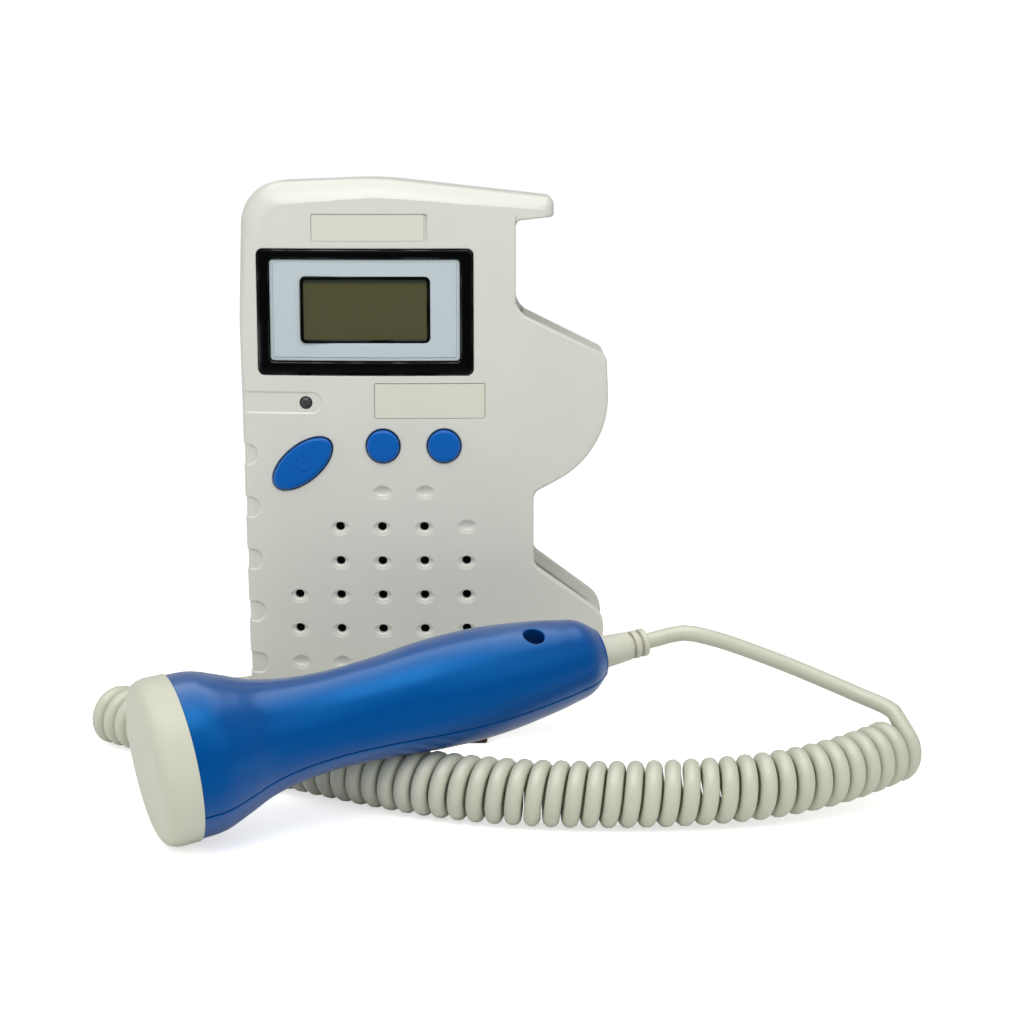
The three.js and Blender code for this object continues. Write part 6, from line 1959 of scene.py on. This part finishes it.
def spline_point(controls, degree, share):
    """A point of a clamped B-spline, by de Boor's recurrence."""
    stretches = len(controls) - degree
    knots = [0.0] * degree + [index / stretches for index in range(stretches + 1)] + [1.0] * degree
    share = min(max(share, 0.0), 1.0)
    span = min(degree + int(share * stretches), len(controls) - 1)
    local = [Vector(controls[span - degree + index]) for index in range(degree + 1)]
    for level in range(1, degree + 1):
        for index in range(degree, level - 1, -1):
            low = knots[span - degree + index]
            high = knots[span + 1 + index - level]
            local[index] = local[index - 1].lerp(local[index], (share - low) / (high - low))
    return local[degree]


def evenly(points, count):
    """Points at even lengths along a fine polyline."""
    points = np.array([tuple(p) for p in points])
    along = np.concatenate([[0], np.cumsum(np.linalg.norm(np.diff(points, axis=0), axis=1))])
    where = np.linspace(0, along[-1], count)
    return np.stack([np.interp(where, along, points[:, axis]) for axis in range(3)], axis=1)


def smooth_path(points, spacing):
    """A centripetal Catmull-Rom curve through points, sampled about every spacing."""
    points = [Vector(p) for p in points]
    ends = [points[0] * 2 - points[1], *points, points[-1] * 2 - points[-2]]
    path = []
    for index in range(len(points) - 1):
        a, b, c, d = ends[index:index + 4]
        ta = 0.0
        tb = ta + max((b - a).length, 1e-6) ** 0.5
        tc = tb + max((c - b).length, 1e-6) ** 0.5
        td = tc + max((d - c).length, 1e-6) ** 0.5
        steps = max(1, round((c - b).length / spacing))
        for step in range(steps):
            t = tb + (tc - tb) * step / steps
            ab = a * ((tb - t) / (tb - ta)) + b * ((t - ta) / (tb - ta))
            bc = b * ((tc - t) / (tc - tb)) + c * ((t - tb) / (tc - tb))
            cd = c * ((td - t) / (td - tc)) + d * ((t - tc) / (td - tc))
            abc = ab * ((tc - t) / (tc - ta)) + bc * ((t - ta) / (tc - ta))
            bcd = bc * ((td - t) / (td - tb)) + cd * ((t - tb) / (td - tb))
            path.append(abc * ((tc - t) / (tc - tb)) + bcd * ((t - tb) / (tc - tb)))
    return path + [points[-1]]


def probe_matrix():
    """From the probe's own frame to the hand unit's, in millimetres, its head resting on the floor."""
    turn = Matrix.Rotation(PROBE_TURN[2], 4, "Z") @ Matrix.Rotation(PROBE_TURN[1], 4, "Y")
    turn = turn @ Matrix.Rotation(PROBE_TURN[0], 4, "X")
    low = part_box("probe_cap")[0].z / MM
    lowest = min(
        (turn @ Vector((x * CAP_LENGTH, r * HEAD_RADIUS * math.cos(a), r * HEAD_RADIUS * math.sin(a)))).z
        for x, r in CAP_EDGE for a in np.linspace(0, 2 * math.pi, 27)
    )
    return Matrix.Translation((PROBE_FACE[0], PROBE_FACE[1], low - lowest)) @ turn


def cord_line():
    """The cord's middle line from the probe's grip to the hand unit's, in the hand unit's frame."""
    probe = probe_matrix()
    tip = probe @ Vector((PROBE_LENGTH + GRIP_LENGTH, 0, 0))
    way = (probe.to_3x3() @ Vector((1, 0, 0))).normalized()
    route = [spline_point(COIL_ROUTE, 3, share) for share in np.linspace(0, 1, SPLINE_SAMPLES)]
    axis = evenly(route, AXIS_STEPS + 1)
    turns = COIL_CURLS + COIL_END - COIL_START
    count = round(turns * COIL_STEPS)
    coil = []
    for step in range(count + 1):
        share = step / count
        at = share * AXIS_STEPS
        low = min(int(at), AXIS_STEPS - 1)
        centre = Vector(axis[low]).lerp(Vector(axis[low + 1]), at - low)
        along = Vector(axis[min(low + AXIS_REACH, AXIS_STEPS)]) - Vector(axis[max(low - AXIS_REACH, 0)])
        along.normalize()
        front = Vector((0, 0, 1)).cross(along).normalized()
        up = along.cross(front)
        angle = 2 * math.pi * (COIL_START + turns * share)
        lift = Vector((0, 0, CORD_LIFT))
        coil.append(centre + lift + (front * math.cos(angle) - up * math.sin(angle)) * COIL_RADIUS)
    arrive = (coil[1] - coil[0]).normalized()
    leave = Vector((coil[-1].x - coil[-2].x, coil[-1].y - coil[-2].y, 0)).normalized()
    unit_tip = Vector((LEFT_X - GRIP_LENGTH, SEAM_DEPTH, GRIP_HEIGHT))
    lead = [tip, tip + way * 4, *[Vector(p) for p in PROBE_LEAD_ROUTE],
            coil[0] - arrive * 7, coil[0] - arrive * 3]
    tail = [coil[-1] + leave * 3, coil[-1] + leave * 7, *[Vector(p) for p in UNIT_LEAD_ROUTE],
            unit_tip - Vector((4, 0, 0)), unit_tip]
    return smooth_path(lead, LEAD_SPACING) + coil + smooth_path(tail, LEAD_SPACING)


class DOPPLER_OT_cord(bpy.types.Operator):
    """Lays the curly cord between the probe and the hand unit"""

    bl_idname = "doppler.cord"
    bl_label = "Curly Cord"

    def execute(self, context):
        line = [place(p) for p in cord_line()]
        diameter = context.scene.doppler_sizes.cord_diameter
        curve = bpy.data.curves.new("cord", "CURVE")
        curve.dimensions = "3D"
        curve.bevel_depth = diameter / 2
        curve.bevel_resolution = 4
        curve.use_fill_caps = True
        spline = curve.splines.new("POLY")
        spline.points.add(len(line) - 1)
        spline.points.foreach_set("co", [c for p in line for c in (*p, 1)])
        spline.use_smooth = True
        cord = bpy.data.objects.new("cord", curve)
        context.scene.collection.objects.link(cord)
        curve.materials.append(material_of("cord"))
        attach(cord, UNIT)
        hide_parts("probe_lead", "curly_cord", "unit_lead")
        return {"FINISHED"}


class DOPPLER_PT_panel(bpy.types.Panel):
    """Everything that builds the monitor"""

    bl_label = "Fetal Doppler Monitor"
    bl_idname = "DOPPLER_PT_panel"
    bl_space_type = "VIEW_3D"
    bl_region_type = "UI"
    bl_category = "Doppler"

    def draw(self, context):
        for group in GROUPS:
            settings = getattr(context.scene, group)
            for name in settings.__annotations__:
                self.layout.prop(settings, name)
        for operator in OPERATORS:
            self.layout.operator(operator.bl_idname)


GROUPS = {"doppler_colours": DopplerColours, "doppler_sizes": DopplerSizes, "doppler_stage": DopplerStage}
OPERATORS = [
    DOPPLER_OT_stage, DOPPLER_OT_front_case, DOPPLER_OT_rear_case, DOPPLER_OT_battery_door,
    DOPPLER_OT_fixings, DOPPLER_OT_display, DOPPLER_OT_plates, DOPPLER_OT_buttons, DOPPLER_OT_probe,
    DOPPLER_OT_grips, DOPPLER_OT_cord, DOPPLER_OT_inside,
]


def register():
    for cls in (*GROUPS.values(), *OPERATORS, DOPPLER_PT_panel):
        bpy.utils.register_class(cls)
    for name, cls in GROUPS.items():
        setattr(bpy.types.Scene, name, bpy.props.PointerProperty(type=cls))


def unregister():
    for name in GROUPS:
        delattr(bpy.types.Scene, name)
    for cls in (DOPPLER_PT_panel, *reversed(OPERATORS), *GROUPS.values()):
        bpy.utils.unregister_class(cls)


def main():
    register()
    for operator in OPERATORS:
        group, name = operator.bl_idname.split(".")
        getattr(getattr(bpy.ops, group), name)()


if __name__ == "__main__":
    main()
